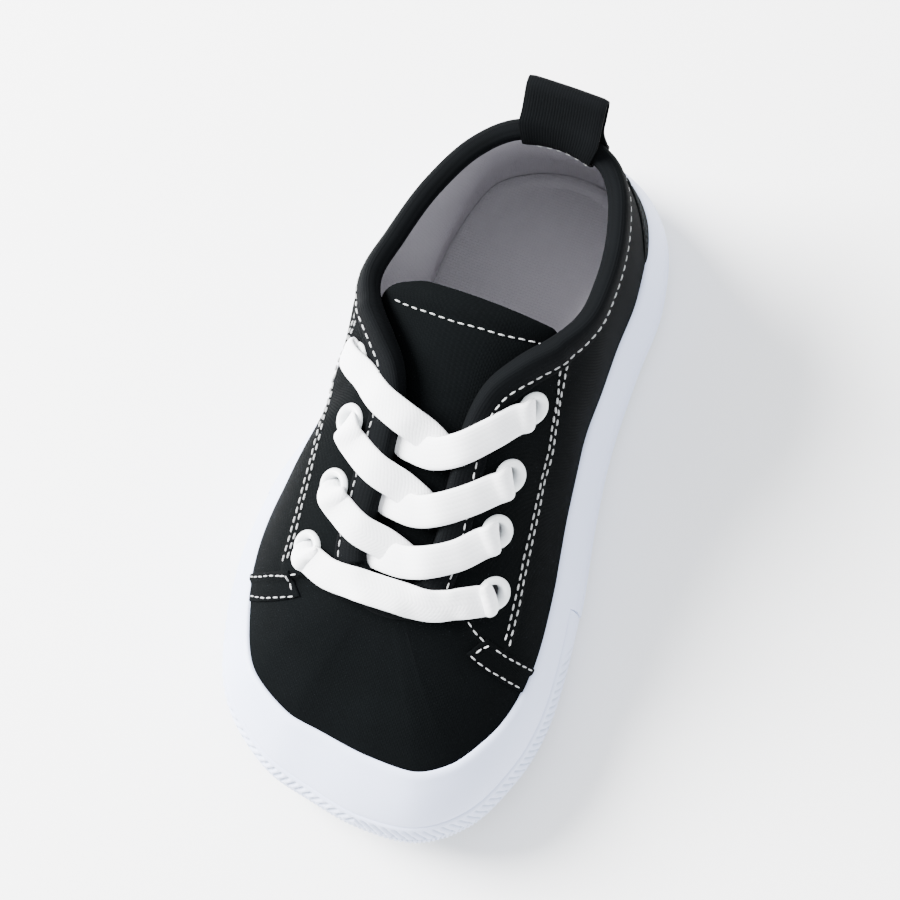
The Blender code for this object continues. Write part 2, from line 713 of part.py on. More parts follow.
def sheet_solid(mesh, top_rows, bottom_rows):
    """A closed sheet from two grids of points, its rim closed by faces."""
    top = [add_ring(mesh, row) for row in top_rows]
    bottom = [add_ring(mesh, row) for row in bottom_rows]
    for grid in (top, bottom):
        for row_a, row_b in zip(grid, grid[1:]):
            join_rows(mesh, row_a, row_b)
    for end in (0, -1):
        join_rows(mesh, top[end], bottom[end])
        join_rows(mesh, [row[end] for row in top], [row[end] for row in bottom])


def mesh_object(mesh, name):
    """Puts a closed mesh in the scene as a named object, its faces turned outwards."""
    bmesh.ops.recalc_face_normals(mesh, faces=mesh.faces)
    data = bpy.data.meshes.new(name)
    mesh.to_mesh(data)
    mesh.free()
    piece = bpy.data.objects.new(name, data)
    bpy.context.collection.objects.link(piece)
    return piece


def finish(mesh, name, material, sharp=40):
    piece = mesh_object(mesh, name)
    piece.data.shade_smooth()
    piece.data.set_sharp_from_angle(angle=math.radians(sharp))
    piece.data.materials.append(material)
    return piece


def paint(name, colour, roughness):
    material = bpy.data.materials.new(name)
    material.use_nodes = True
    shader = material.node_tree.nodes["Principled BSDF"]
    shader.inputs["Base Color"].default_value = (*colour, 1.0)
    shader.inputs["Roughness"].default_value = roughness
    shader.inputs["Metallic"].default_value = 0.0
    return material


def combine(piece, mesh, name, operation):
    """Adds a closed mesh to a piece, or takes it out, through a hidden object."""
    tool = mesh_object(mesh, name)
    tool.hide_render = True
    tool.display_type = "WIRE"
    boolean = piece.modifiers.new(name, "BOOLEAN")
    boolean.operation = operation
    boolean.object = tool


# ---------------------------------------------------------------- sole pieces


def flat_rungs(turns, inset, height, lift=None):
    """Points between the two sides of the sole at one height, for ladder()."""

    def rungs(k):
        outer, inner = plan(turns[k], inset), plan(turns[-k], inset)
        points = []
        for share in RUNG_SHARES:
            x, run = outer.lerp(inner, share)
            points.append(sprung(x, run, height(turns[k]) + (lift(run) if lift else 0.0)))
        return points

    return rungs


def waist_hollow(run):
    """Hollow under the waist, so that the shoe stands on its heel and its ball."""
    forward = (run - WAIST_START) / (WAIST_END - WAIST_START)
    return WAIST_HOLLOW * math.sin(math.pi * forward) if 0 < forward < 1 else 0.0


def tread_level(turn):
    return 0.0


def outsole_side(turn, height, more=0.0):
    """A point of the outsole's edge, which steps in behind the bumper."""
    behind = BUMPER_DEPTH + GAP if under_bumper(turn) else 0.0
    return sole_point(turn, side_inset(turn, height) + behind + more, height)


def build_outsole(material):
    mesh = bmesh.new()
    rings = []
    for share, more in ((0.0, TREAD_INSET), (0.2, 0.0), (0.9, 0.0), (1.0, EDGE_ROUNDING)):
        ring = [outsole_side(turn, band_top(turn) * share, more) for turn in SOLE_TURNS]
        rings.append(add_ring(mesh, ring))
    for ring_a, ring_b in zip(rings, rings[1:]):
        join_rings(mesh, ring_a, ring_b)
    ladder(mesh, rings[0], flat_rungs(SOLE_TURNS, RUNG_INSET, tread_level, waist_hollow))
    ladder(mesh, rings[-1], flat_rungs(SOLE_TURNS, RUNG_INSET, band_top))
    piece = finish(mesh, "outsole", material)
    combine(piece, tread_grooves(), "outsole_grooves", "DIFFERENCE")


def tread_grooves():
    """Bars that cut the lugs: straight grooves across the heel and the ball."""
    cutters = bmesh.new()
    for first, count in (HEEL_GROOVES, BALL_GROOVES):
        for k in range(count):
            run = first + GROOVE_PITCH * k
            ends = [plan(turn_at_run(SOLE, run, *sides), GROOVE_MARGIN).x for sides in SOLE_SIDES]
            corners = [
                sprung(x, run + side * GROOVE_WIDTH / 2, height)
                for x in ends
                for side in (-1, 1)
                for height in (GROOVE_START, GROOVE_DEPTH)
            ]
            bmesh.ops.convex_hull(
                cutters, input=[cutters.verts.new(corner) for corner in corners]
            )
    return cutters


def bumper_top(turn):
    """The bumper's upper edge falls from its ends to the toe."""
    forward = (min(turn, 1 - turn) - BUMPER_TURN) / (0.5 - BUMPER_TURN)
    return BUMPER_END_TOP + (BUMPER_TOE_TOP - BUMPER_END_TOP) * forward


def bumper_bulge(turn):
    """Heights between which the bumper's back and its recess are flat."""
    return NOSE_HEIGHT, (NOSE_HEIGHT + bumper_top(turn)) / 2


def cup_side(turn):
    """The cup's outer side at one turn, from its bottom up, as (inset, height) corners."""
    low = band_top(turn) + GAP
    if under_bumper(turn):
        recess = BUMPER_DEPTH + GAP
        ledge = bumper_top(turn) + GAP
        heights = (low, low + EDGE_ROUNDING, *bumper_bulge(turn), ledge)
        corners = [(side_inset(turn, height) + recess, height) for height in heights]
    else:
        ledge = RIDGE_TOP
        corners = [
            (side_inset(turn, low) + EDGE_ROUNDING, low),
            (side_inset(turn, low + EDGE_ROUNDING), low + EDGE_ROUNDING),
            (side_inset(turn, RIDGE_FOOT), RIDGE_FOOT),
            (side_inset(turn, RIDGE_LOW) - RIDGE_OUT, RIDGE_LOW),
            (side_inset(turn, RIDGE_HIGH) - RIDGE_OUT, RIDGE_HIGH),
        ]
    top = SOLE.at(turn, "top")
    for share in WALL_SHARES:
        height = ledge + (top - ledge) * share
        corners.append((side_inset(turn, height), height))
    return corners


def build_cup(material):
    """Side wall and floor in one: a ridge runs along the side, and the bumper lies in a recess."""
    mesh = bmesh.new()
    columns = [cup_side(turn) for turn in CUP_TURNS]
    rings = [
        add_ring(mesh, [sole_point(turn, *corner) for turn, corner in zip(CUP_TURNS, row)])
        for row in zip(*columns)
    ]
    for s in CAVITY_ROWS:
        drop = GAP if s == 1.0 else 0.0
        ring = [cavity_point(turn, s, GAP + LEAST, drop) for turn in CUP_TURNS]
        rings.append(add_ring(mesh, ring))
    for ring_a, ring_b in zip(rings, rings[1:]):
        join_rings(mesh, ring_a, ring_b)

    def bottom(turn):
        return band_top(turn) + GAP

    def floor(turn):
        return FLOOR_HEIGHT

    ladder(mesh, rings[0], flat_rungs(CUP_TURNS, RUNG_INSET, bottom))
    ladder(mesh, rings[-1], flat_rungs(CUP_TURNS, 2 * RUNG_INSET, floor))
    finish(mesh, "cup_sole", material)


def bumper_section(turn, rib, lean):
    """One section through the bumper; its upper tier leans by some turns."""
    low, middle, high = BUMPER_GROOVE
    shifted = turn + lean
    brow = bumper_top(shifted)
    face = [
        (turn, BUMPER_FOOT, rib),
        (turn, low, rib),
        (turn, middle, -BUMPER_GROOVE_DEPTH),
        (turn, high, rib),
        (shifted, brow - EDGE_ROUNDING, rib),
        (shifted, brow, -RIB_CREST),
    ]
    back = [bumper_top(turn), *reversed(bumper_bulge(turn)), BUMPER_FOOT]
    face += [(turn, height, -BUMPER_DEPTH) for height in back]
    return [sole_point(at, side_inset(at, height) - out, height) for at, height, out in face]


def build_bumper(material):
    """Strip round the front with two tiers of ribs: the upper ones lean, the lower ones stand straight."""
    mesh = bmesh.new()
    start = BUMPER_TURN + BUMPER_START
    step = (0.5 - start) / RIB_COUNT
    sections = [bumper_section(start, 0.0, 0.0)]
    for k in range(1, 2 * RIB_COUNT):
        rib = RIB_CREST if k % 2 else RIB_TROUGH
        lean = RIB_LEAN * step * (1 if k < RIB_COUNT else -1)
        sections.append(bumper_section(start + k * step, rib, lean))
    sections.append(bumper_section(1 - start, 0.0, 0.0))
    skin_rings(mesh, sections)
    finish(mesh, "toe_bumper", material, BUMPER_SHARP)


def build_insole(material):
    mesh = bmesh.new()
    low = FLOOR_HEIGHT + GAP
    top = FLOOR_HEIGHT + INSOLE_THICKNESS

    def inset(turn):
        return SOLE.at(turn, "wall") + FLOOR_TURN_IN + WALL + 2 * GAP

    rings = []
    for more, height in ((0.0, low), (0.0, top - INSOLE_ROUNDING), (INSOLE_ROUNDING, top)):
        ring = [sole_point(turn, inset(turn) + more, height) for turn in INSOLE_TURNS]
        rings.append(add_ring(mesh, ring))
    for ring_a, ring_b in zip(rings, rings[1:]):
        join_rings(mesh, ring_a, ring_b)

    def bottom(turn):
        return low

    def face(turn):
        return top

    rung_inset = inset(0.5) + INSOLE_ROUNDING
    ladder(mesh, rings[0], flat_rungs(INSOLE_TURNS, rung_inset, bottom))
    ladder(mesh, rings[-1], flat_rungs(INSOLE_TURNS, rung_inset, face))
    finish(mesh, "insole", material)


# ---------------------------------------------------------------- upper pieces


def build_upper(material):
    """Vamp and quarters as one hollow wall, open at the collar, the throat and the bottom."""
    mesh = bmesh.new()
    columns = []
    for turn in UPPER_TURNS:
        seam = below_edge(turn, SEAM.at(turn, "depth"))
        bound = below_edge(turn, BINDING_WIDTH)
        between = (bound + seam) / 2
        quarter, stay = quarter_layer(turn), stay_layer(turn)
        outside = [(-s, 0.0) for s in reversed(CAVITY_ROWS)]
        outside += [(share * seam, quarter) for share in QUARTER_SHARES]
        outside += [(seam - SEAM_STEP, quarter)]
        outside += [(s, stay) for s in (seam, between, bound, 1.0)]
        inside = [(s, -WALL) for s in (1.0, bound, between, seam, LINING_SHARE * seam, 0.0, CUP_LINING, -1.0)]
        columns.append([upper_point(turn, s, out) for s, out in outside + inside])
    skin_rings(mesh, list(zip(*columns)), closed=True)
    piece = finish(mesh, "upper", material, 50)
    bores = bmesh.new()
    for _, turn, s in eyelet_places():
        frame = upper_frame(turn, s, 0.0)
        skin_rings(bores, [round_section(frame, BORE, rise) for rise in (-BORE_REACH, BORE_REACH)])
    combine(piece, bores, "upper_bores", "DIFFERENCE")


def binding_section(turn):
    """The binding folds over the opening's edge: outer leg, crest and inner leg."""
    layer = stay_layer(turn) + GAP + LEAST
    inner = -WALL - GAP - LEAST
    low = below_edge(turn, BINDING_WIDTH)
    inner_low = below_edge(turn, BINDING_INSIDE)
    edge = upper_side(turn, 1.0)
    up = (edge - upper_side(turn, 1.0 - S_STEP)).normalized() * MM
    crest = up * (GAP + TAPE)
    return [
        upper_point(turn, low, layer),
        upper_point(turn, low, layer + TAPE),
        upper_point(turn, 1.0, layer + TAPE) + up * GAP,
        upper_point(turn, 1.0, layer / 2) + crest + up * BINDING_CREST,
        upper_point(turn, 1.0, inner) + crest,
        upper_point(turn, 1.0, inner - TAPE),
        upper_point(turn, inner_low, inner - TAPE),
        upper_point(turn, inner_low, inner),
        upper_point(turn, 1.0, inner) + up * GAP,
        upper_point(turn, 1.0, layer) + up * GAP,
    ]


def build_binding(material):
    mesh = bmesh.new()
    skin_rings(mesh, [binding_section(turn) for turn in UPPER_TURNS], closed=True)
    finish(mesh, "collar_binding", material, 60)


def overlay(name, turns, span, shares, material):
    """A layer of tape thickness on the quarters, between two s given by span(turn)."""
    mesh = bmesh.new()
    low_face = LAYER + GAP + 3 * LEAST
    high_face = low_face + TAPE
    grids = []
    for out in (high_face, low_face):
        grid = []
        for turn in turns:
            foot, head = span(turn)
            grid.append([upper_point(turn, foot + (head - foot) * share, out) for share in shares])
        grids.append(grid)
    sheet_solid(mesh, *grids)
    finish(mesh, name, material)


def counter_span(turn):
    """The counter is highest at the heel's end and runs down to the sole on both sides."""
    round_top = math.sqrt(1 - (turn / (COUNTER_TURN + COUNTER_RUN_ON)) ** 2)
    return COUNTER_FOOT, COUNTER_FOOT + (COUNTER_HEIGHT - COUNTER_FOOT) * round_top


def patch_span(turn):
    return PATCH_FOOT, PATCH_TOP


def build_overlays(counter_material, patch_material):
    counter_turns = turns_between(-COUNTER_TURN, COUNTER_TURN)
    overlay("heel_counter", counter_turns, counter_span, COUNTER_SHARES, counter_material)
    for name, sign in (("side_patch_outer", 1), ("side_patch_inner", -1)):
        ends = (VAMP_TURN - PATCH_BEHIND, VAMP_TURN + PATCH_BEFORE)
        turns = sorted(sign * (ends[0] + (ends[1] - ends[0]) * share) for share in (0, 0.5, 1))
        overlay(name, turns, patch_span, PATCH_SHARES, patch_material)


def tongue_at(run, column):
    """A tongue column at a run: the rows lie from the sewn end, at the largest run, to the top edge."""
    rows = TONGUE_ROWS
    place = max(1, min(len(rows) - 1, sum(1 for row in rows if row.run >= run)))
    behind, ahead = rows[place - 1], rows[place]
    share = (behind.run - run) / (behind.run - ahead.run)
    rates = []
    for index in (place - 1, place):
        first, last = rows[max(0, index - 1)], rows[min(len(rows) - 1, index + 1)]
        rate = (getattr(last, column) - getattr(first, column)) / (first.run - last.run)
        rates.append(rate * (behind.run - ahead.run))
    return curve_between(share, getattr(behind, column), getattr(ahead, column), *rates)


def tongue_point(run, across):
    """A point of the tongue's upper face; across goes from -1 at its outer to 1 at its inner side."""
    x = tongue_at(run, "x") + tongue_at(run, "half_width") * across
    drop = tongue_at(run, "outer_drop" if across < 0 else "inner_drop")
    return world(x, run, tongue_at(run, "height") - drop * across * across)


def tongue_up(run, across):
    """The direction in which the tongue's upper face looks."""
    behind, ahead = min(run + 0.5, TONGUE_RUNS[0]), max(run - 0.5, TONGUE_RUNS[-1])
    along = tongue_point(ahead, across) - tongue_point(behind, across)
    side = tongue_point(run, across + S_STEP) - tongue_point(run, across - S_STEP)
    return side.cross(along).normalized()


def build_tongue(material):
    mesh = bmesh.new()
    shares = [k / TONGUE_HALF_COLUMNS - 1 for k in range(2 * TONGUE_HALF_COLUMNS + 1)]
    top_rows, bottom_rows = [], []
    for run in TONGUE_RUNS:
        top, bottom = [], []
        for across in shares:
            at_edge = abs(across) == 1 or run in (TONGUE_RUNS[0], TONGUE_RUNS[-1])
            up = tongue_up(run, across) * TONGUE_THICKNESS / 2 * MM
            middle = tongue_point(run, across) - up
            top.append(middle + up * (TONGUE_EDGE if at_edge else 1.0))
            bottom.append(middle - up * (TONGUE_EDGE if at_edge else 1.0))
        top_rows.append(top)
        bottom_rows.append(bottom)
    sheet_solid(mesh, top_rows, bottom_rows)
    finish(mesh, "tongue", material, 60)


def loop_path(turn):
    """The tape's inner path at one turn, from the foot of its outer leg to the foot of its inner leg."""
    over_quarter = LAYER + GAP + LEAST
    over_binding = LAYER + 2 * GAP + TAPE + 2 * LEAST
    inside = -WALL - 2 * GAP - TAPE - LEAST

    def at_depth(depth, out):
        return upper_point(turn, below_edge(turn, depth), out)

    edge = upper_side(turn, 1.0)
    middle = upper_side(0.0, 1.0)
    path = [at_depth(LOOP_DEPTH, over_quarter), at_depth(BINDING_WIDTH + LOOP_LIFT[0], over_quarter)]
    path += [at_depth(BINDING_WIDTH + LOOP_LIFT[1], over_binding), at_depth(0.0, over_binding)]
    for point in LOOP_PATH:
        run = edge.y * point.spread + middle.y * (1 - point.spread)
        height = edge.z * point.spread + middle.z * (1 - point.spread)
        path.append(Vector((edge.x, run - point.run * MM, height + point.height * MM)))
    path += [at_depth(0.0, inside), at_depth(LOOP_INSIDE, inside)]
    return path


def build_loop(material):
    mesh = bmesh.new()
    inner_grid, outer_grid = [], []
    for k in range(2 * LOOP_HALF_COLUMNS + 1):
        turn = LOOP_TURN * (k / LOOP_HALF_COLUMNS - 1)
        path = loop_path(turn)
        inner, outer = [], []
        for index, point in enumerate(path):
            along = path[min(index + 1, len(path) - 1)] - path[max(index - 1, 0)]
            out = Vector((0.0, along.z, -along.y)).normalized()
            inner.append(point)
            outer.append(point + out * LOOP_TAPE * MM)
        inner_grid.append(inner)
        outer_grid.append(outer)
    sheet_solid(mesh, inner_grid, outer_grid)
    finish(mesh, "pull_loop", material, 60)


# ---------------------------------------------------------------- eyelets and laces


def eyelet_places():
    """Name, turn and s of each eyelet."""
    for row in EYELET_ROWS:
        yield "eyelet_outer_" + row.place, *place_seen_at(row.outer_x, row.outer_run)
        yield "eyelet_inner_" + row.place, *place_seen_at(row.inner_x, row.inner_run)


def upper_frame(turn, s, out):
    """Middle, outward direction and two directions along the cloth at a place on the upper."""
    middle = upper_point(turn, s, out)
    up = (upper_point(turn, s, 1.0) - upper_point(turn, s)).normalized()
    side = (upper_side(turn + TURN_STEP, s) - upper_side(turn - TURN_STEP, s)).normalized()
    return middle, up, side, up.cross(side)


def round_section(frame, radius, rise):
    middle, up, side, ahead = frame
    ring = []
    for k in range(EYELET_SIDES):
        angle = math.tau * k / EYELET_SIDES
        out = side * math.cos(angle) + ahead * math.sin(angle)
        ring.append(middle + (up * rise + out * radius) * MM)
    return ring


def build_eyelets(material):
    foot = -(LAYER + STAY_LAYER + WALL + EYELET_SEAT + GAP)
    profile = (
        (EYELET_HOLE, EYELET_RISE * 0.6),
        (EYELET_CROWN, EYELET_RISE),
        (EYELET_FLANGE, EYELET_RISE / 2),
        (EYELET_FLANGE, 0.0),
        (EYELET_BARREL, 0.0),
        (EYELET_BARREL, foot),
        (EYELET_HOLE, foot),
    )
    for name, turn, s in eyelet_places():
        mesh = bmesh.new()
        frame = upper_frame(turn, s, stay_layer(turn) + EYELET_SEAT)
        skin_rings(mesh, [round_section(frame, *corner) for corner in profile], closed=True)
        finish(mesh, name, material, 60)


def smooth_route(points, count):
    """Places spread along a smooth curve through a lace's points."""
    laps = [0.0]
    for a, b in zip(points, points[1:]):
        laps.append(laps[-1] + math.hypot(b.x - a.x, b.run - a.run))
    last = len(points) - 1
    places = []
    for k in range(count):
        length = laps[-1] * k / (count - 1)
        piece = min(bisect_right(laps, length), last) - 1
        start, end = laps[piece], laps[piece + 1]
        share = (length - start) / (end - start)
        place = []
        for column in range(len(LacePoint._fields)):
            rates = []
            for index in (piece, piece + 1):
                before, after = max(0, index - 1), min(last, index + 1)
                rate = (points[after][column] - points[before][column]) / (laps[after] - laps[before])
                rates.append(rate * (end - start))
            place.append(curve_between(share, points[piece][column], points[piece + 1][column], *rates))
        places.append(LacePoint(*place))
    return places


def lace_strip(route, stations):
    """A flat lace with thin edges along a route over the deck."""
    mesh = bmesh.new()
    middles, ups = [], []
    for place in smooth_route(route, stations):
        point, up = deck_frame(place.x, place.run)
        middles.append(point + up * place.lift * MM)
        ups.append(up)
    half, edge = LACE_WIDTH / 2, LACE_WIDTH / 2 - LACE_EDGE
    outline = ((half, 0), (edge, 0.5), (-edge, 0.5), (-half, 0), (-edge, -0.5), (edge, -0.5))
    sections = []
    for index, (middle, up) in enumerate(zip(middles, ups)):
        along = middles[min(index + 1, stations - 1)] - middles[max(index - 1, 0)]
        side = along.cross(up).normalized()
        top = side.cross(along).normalized()
        section = [middle + (side * a + top * b * LACE_THICKNESS) * MM for a, b in outline]
        sections.append(section)
    skin_rings(mesh, sections)
    return mesh


def build_laces(material):
    for name, routes in LACE_ROUTES.items():
        stations = BAR_STATIONS if len(routes) == 1 else CROSSING_STATIONS
        piece = finish(lace_strip(routes[0], stations), name, material)
        for route in routes[1:]:
            combine(piece, lace_strip(route, stations), name + "_over", "UNION")


def build():
    for leftover in list(bpy.data.objects):
        bpy.data.objects.remove(leftover, do_unlink=True)
    build_outsole(paint("outsole_rubber", (0.55, 0.6, 0.66), 0.6))
    build_cup(paint("cup_rubber", (0.82, 0.85, 0.9), 0.45))
    build_bumper(paint("bumper_rubber", (0.8, 0.83, 0.88), 0.45))
    build_insole(paint("insole_cloth", (0.5, 0.5, 0.53), 0.95))
    build_upper(paint("canvas", (0.012, 0.014, 0.016), 0.9))
    build_tongue(paint("tongue_canvas", (0.011, 0.013, 0.014), 0.9))
    build_binding(paint("binding_canvas", (0.01, 0.012, 0.014), 0.85))
    build_overlays(
        paint("counter_canvas", (0.012, 0.013, 0.015), 0.9),
        paint("patch_canvas", (0.011, 0.013, 0.016), 0.9),
    )
    build_loop(paint("loop_tape", (0.013, 0.014, 0.016), 0.85))
    build_eyelets(paint("eyelet_enamel", (0.8, 0.81, 0.82), 0.35))
    build_laces(paint("lace_cotton", (0.84, 0.85, 0.86), 0.85))


build()
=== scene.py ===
"""Looks of a right toddler's shoe: black canvas lace-up with a white cup sole.

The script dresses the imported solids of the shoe. Sizes are in millimetres unless a name says
otherwise, and MM turns them into metres. A place on the shoe is given by its turn (0 at the back of the
heel, 0.5 at the end of the toe, going round by the outer side), its run (how far forward of the heel's
end it lies), its x (towards the inner side) and its height.
"""

import math
from bisect import bisect_right
from collections import namedtuple
from functools import lru_cache

import bmesh
import bpy
from bpy.props import FloatProperty, FloatVectorProperty, PointerProperty
from mathutils import Matrix, Vector

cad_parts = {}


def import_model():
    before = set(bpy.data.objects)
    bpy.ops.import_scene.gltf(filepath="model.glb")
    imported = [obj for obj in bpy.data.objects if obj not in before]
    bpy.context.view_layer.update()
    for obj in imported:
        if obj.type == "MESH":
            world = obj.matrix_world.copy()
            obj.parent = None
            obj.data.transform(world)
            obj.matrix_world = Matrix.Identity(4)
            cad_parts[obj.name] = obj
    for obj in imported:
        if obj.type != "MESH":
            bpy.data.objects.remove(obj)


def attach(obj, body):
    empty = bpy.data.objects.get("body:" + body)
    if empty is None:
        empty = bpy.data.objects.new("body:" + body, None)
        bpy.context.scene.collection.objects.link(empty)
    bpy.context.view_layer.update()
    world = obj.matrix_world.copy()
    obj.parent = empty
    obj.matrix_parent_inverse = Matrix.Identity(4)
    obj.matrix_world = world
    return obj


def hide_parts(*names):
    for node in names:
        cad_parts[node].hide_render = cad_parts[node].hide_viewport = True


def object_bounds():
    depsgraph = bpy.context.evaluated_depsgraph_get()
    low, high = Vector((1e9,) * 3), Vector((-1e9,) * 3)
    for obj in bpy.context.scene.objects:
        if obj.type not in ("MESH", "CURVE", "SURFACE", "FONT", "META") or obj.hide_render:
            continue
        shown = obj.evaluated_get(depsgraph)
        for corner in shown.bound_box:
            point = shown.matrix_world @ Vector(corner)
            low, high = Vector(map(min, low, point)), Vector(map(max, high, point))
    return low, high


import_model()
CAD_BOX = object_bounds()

bl_info = {
    "name": "Toddler Canvas Shoe",
    "version": (1, 0, 0),
    "blender": (4, 5, 0),
    "location": "View3D > Sidebar > Shoe",
    "description": "Dresses the solids of a toddler's canvas shoe in cloth, rubber, laces and stitches",
    "category": "Object",
}

MM = 0.001
BODY = "root"

# ---------------------------------------------------------------- the last and the sole, as tables

# Where the middle of the whole shoe lies, so that the origin is under the middle of its box.
MIDDLE_RUN = 76.75
MIDDLE_X = 0.3

GAP = 0.3  # between neighbouring pieces

# Small steps along the shoe's surfaces, by which their directions are found.
TURN_STEP = 0.002
NORMAL_TURNS = 0.01  # wide, so that the cloth's normal stays steady where its lines crowd at the throat
S_STEP = 0.02

# Outsole: heights are above the tread, before the toe is bent up.
BAND_HEIGHT = 6.4  # low band of the outsole, from the heel to the toe bumper
FRONT_HEIGHT = 3.0  # outsole under the toe bumper
TUCK = 1.1  # how far the sole's side draws in from its nose down to the tread
GROOVE_WIDTH = 2.2
GROOVE_DEPTH = 1.4
GROOVE_PITCH = 7.5
GROOVE_MARGIN = 7.0
HEEL_GROOVES = (13.0, 5)  # run of the first groove, and how many
BALL_GROOVES = (84.0, 8)
WAIST_START = 44.0
WAIST_END = 78.0
WAIST_HOLLOW = 1.2
SPRING_RUN = 90.0  # where the tread begins to rise to the toe
SPRING_LENGTH = 65.5
SPRING_RISE = 9.5
SPRING_POWER = 1.8

# Cup sole and toe bumper
NOSE_HEIGHT = 8.5  # height at which the sole's side stands furthest out
SHOULDER_POWER = 2.1  # how late the side's upper part draws in to the rim
FLOOR_HEIGHT = 8.8  # floor of the cup
LIP = 1.2  # top edge of the cup's wall
BUMPER_RUN = 96.0  # where the bumper begins
BUMPER_DEPTH = 1.9
BUMPER_FOOT = 1.0
BUMPER_END_TOP = 16.6  # the bumper's upper edge falls from its ends
BUMPER_TOE_TOP = 11.4  # to the toe
INSOLE_THICKNESS = 3.0

# Upper
WALL = 1.4
LAYER = 0.6  # step where one cloth lies on another
STAY_LAYER = 0.5  # the eyestays are one more layer
STAY_START = 0.218  # turn at which they begin
VAMP_TURN = 0.347  # the quarters lie on the vamp up to this turn on each side
CUP_HANDLE = 4.5  # reach of the last's curve at the cup's edge, down into the cup
SIDE_HANDLE = 9.0  # and up the shoe's side
FLOOR_HANDLE = 5.0
FLOOR_TURN_IN = 1.3  # how far the last's side draws in at the floor
BINDING_WIDTH = 5.0  # depth of the binding outside the opening's edge
COUNTER_TURN = 0.0975
COUNTER_HEIGHT = 0.64  # share of the heel's side that the counter covers
TONGUE_THICKNESS = 2.4
TONGUE_ENDS = (120.0, 51.1)  # runs between which its upward direction is found
THROAT_TOP = 66.0
THROAT_END = 108.5

# Pull loop
LOOP_TURN = 0.031
LOOP_TAPE = 0.9
LOOP_DEPTH = 11.0  # how far its outer leg goes down
LOOP_INSIDE = 4.0

EYELET_BARREL = 2.2


def list_of(kind, *rows):
    """Rows of one kind, from their plain values."""
    return [kind(*row) for row in rows]


SoleRow = namedtuple(
    "SoleRow", "place turn outer_x outer_run inner_x inner_run rim top outer_lean inner_lean wall"
)
# rim: how far in from the outline the upper goes into the cup; top: height there; outer_lean, inner_lean:
# how far the upper leans inwards there, in degrees from upright; wall: thickness of the cup's wall near its
# floor.
SOLE_ROWS = list_of(
    SoleRow,
    ("heel_end", 0.000, 0.8, 0.0, 0.8, 0.0, 5.0, 23.5, 14, 14, 3.2),
    ("heel_corner", 0.035, -11.5, 2.6, 12.8, 2.8, 4.5, 23.4, 13, 13, 3.2),
    ("heel_side", 0.070, -21.4, 10.0, 22.0, 11.0, 4.8, 23.2, 9, 9, 3.1),
    ("heel_front", 0.110, -26.0, 25.0, 26.9, 26.0, 4.8, 23.0, 0, 3, 3.0),
    ("waist_rear", 0.155, -27.0, 42.0, 27.3, 43.0, 4.8, 22.8, -8, 0, 3.0),
    ("waist", 0.200, -28.6, 60.0, 28.3, 60.5, 5.0, 22.6, -25, 2, 3.0),
    ("waist_front", 0.245, -32.4, 76.0, 31.0, 77.0, 5.4, 22.4, -15, 8, 3.4),
    ("ball_rear", 0.290, -36.5, 94.0, 34.7, 94.0, 5.8, 22.2, 12, 18, 3.9),
    ("ball", 0.330, -36.4, 112.0, 37.0, 111.0, 6.0, 22.0, 25, 25, 4.0),
    ("ball_front", 0.365, -33.0, 128.0, 37.4, 123.0, 6.6, 22.0, 34, 34, 4.0),
    ("toe_side", 0.400, -26.5, 141.5, 35.4, 134.0, 7.4, 22.2, 44, 44, 4.1),
    ("toe_corner", 0.435, -14.5, 150.4, 30.2, 145.6, 8.6, 22.5, 52, 52, 4.2),
    ("toe_front", 0.470, -3.0, 153.2, 20.5, 153.2, 9.3, 22.8, 57, 57, 4.2),
    ("toe_end", 0.500, 8.5, 154.6, 8.5, 154.6, 9.6, 23.0, 58, 58, 4.2),
)

OpeningRow = namedtuple("OpeningRow", "place turn x run height slope reach")
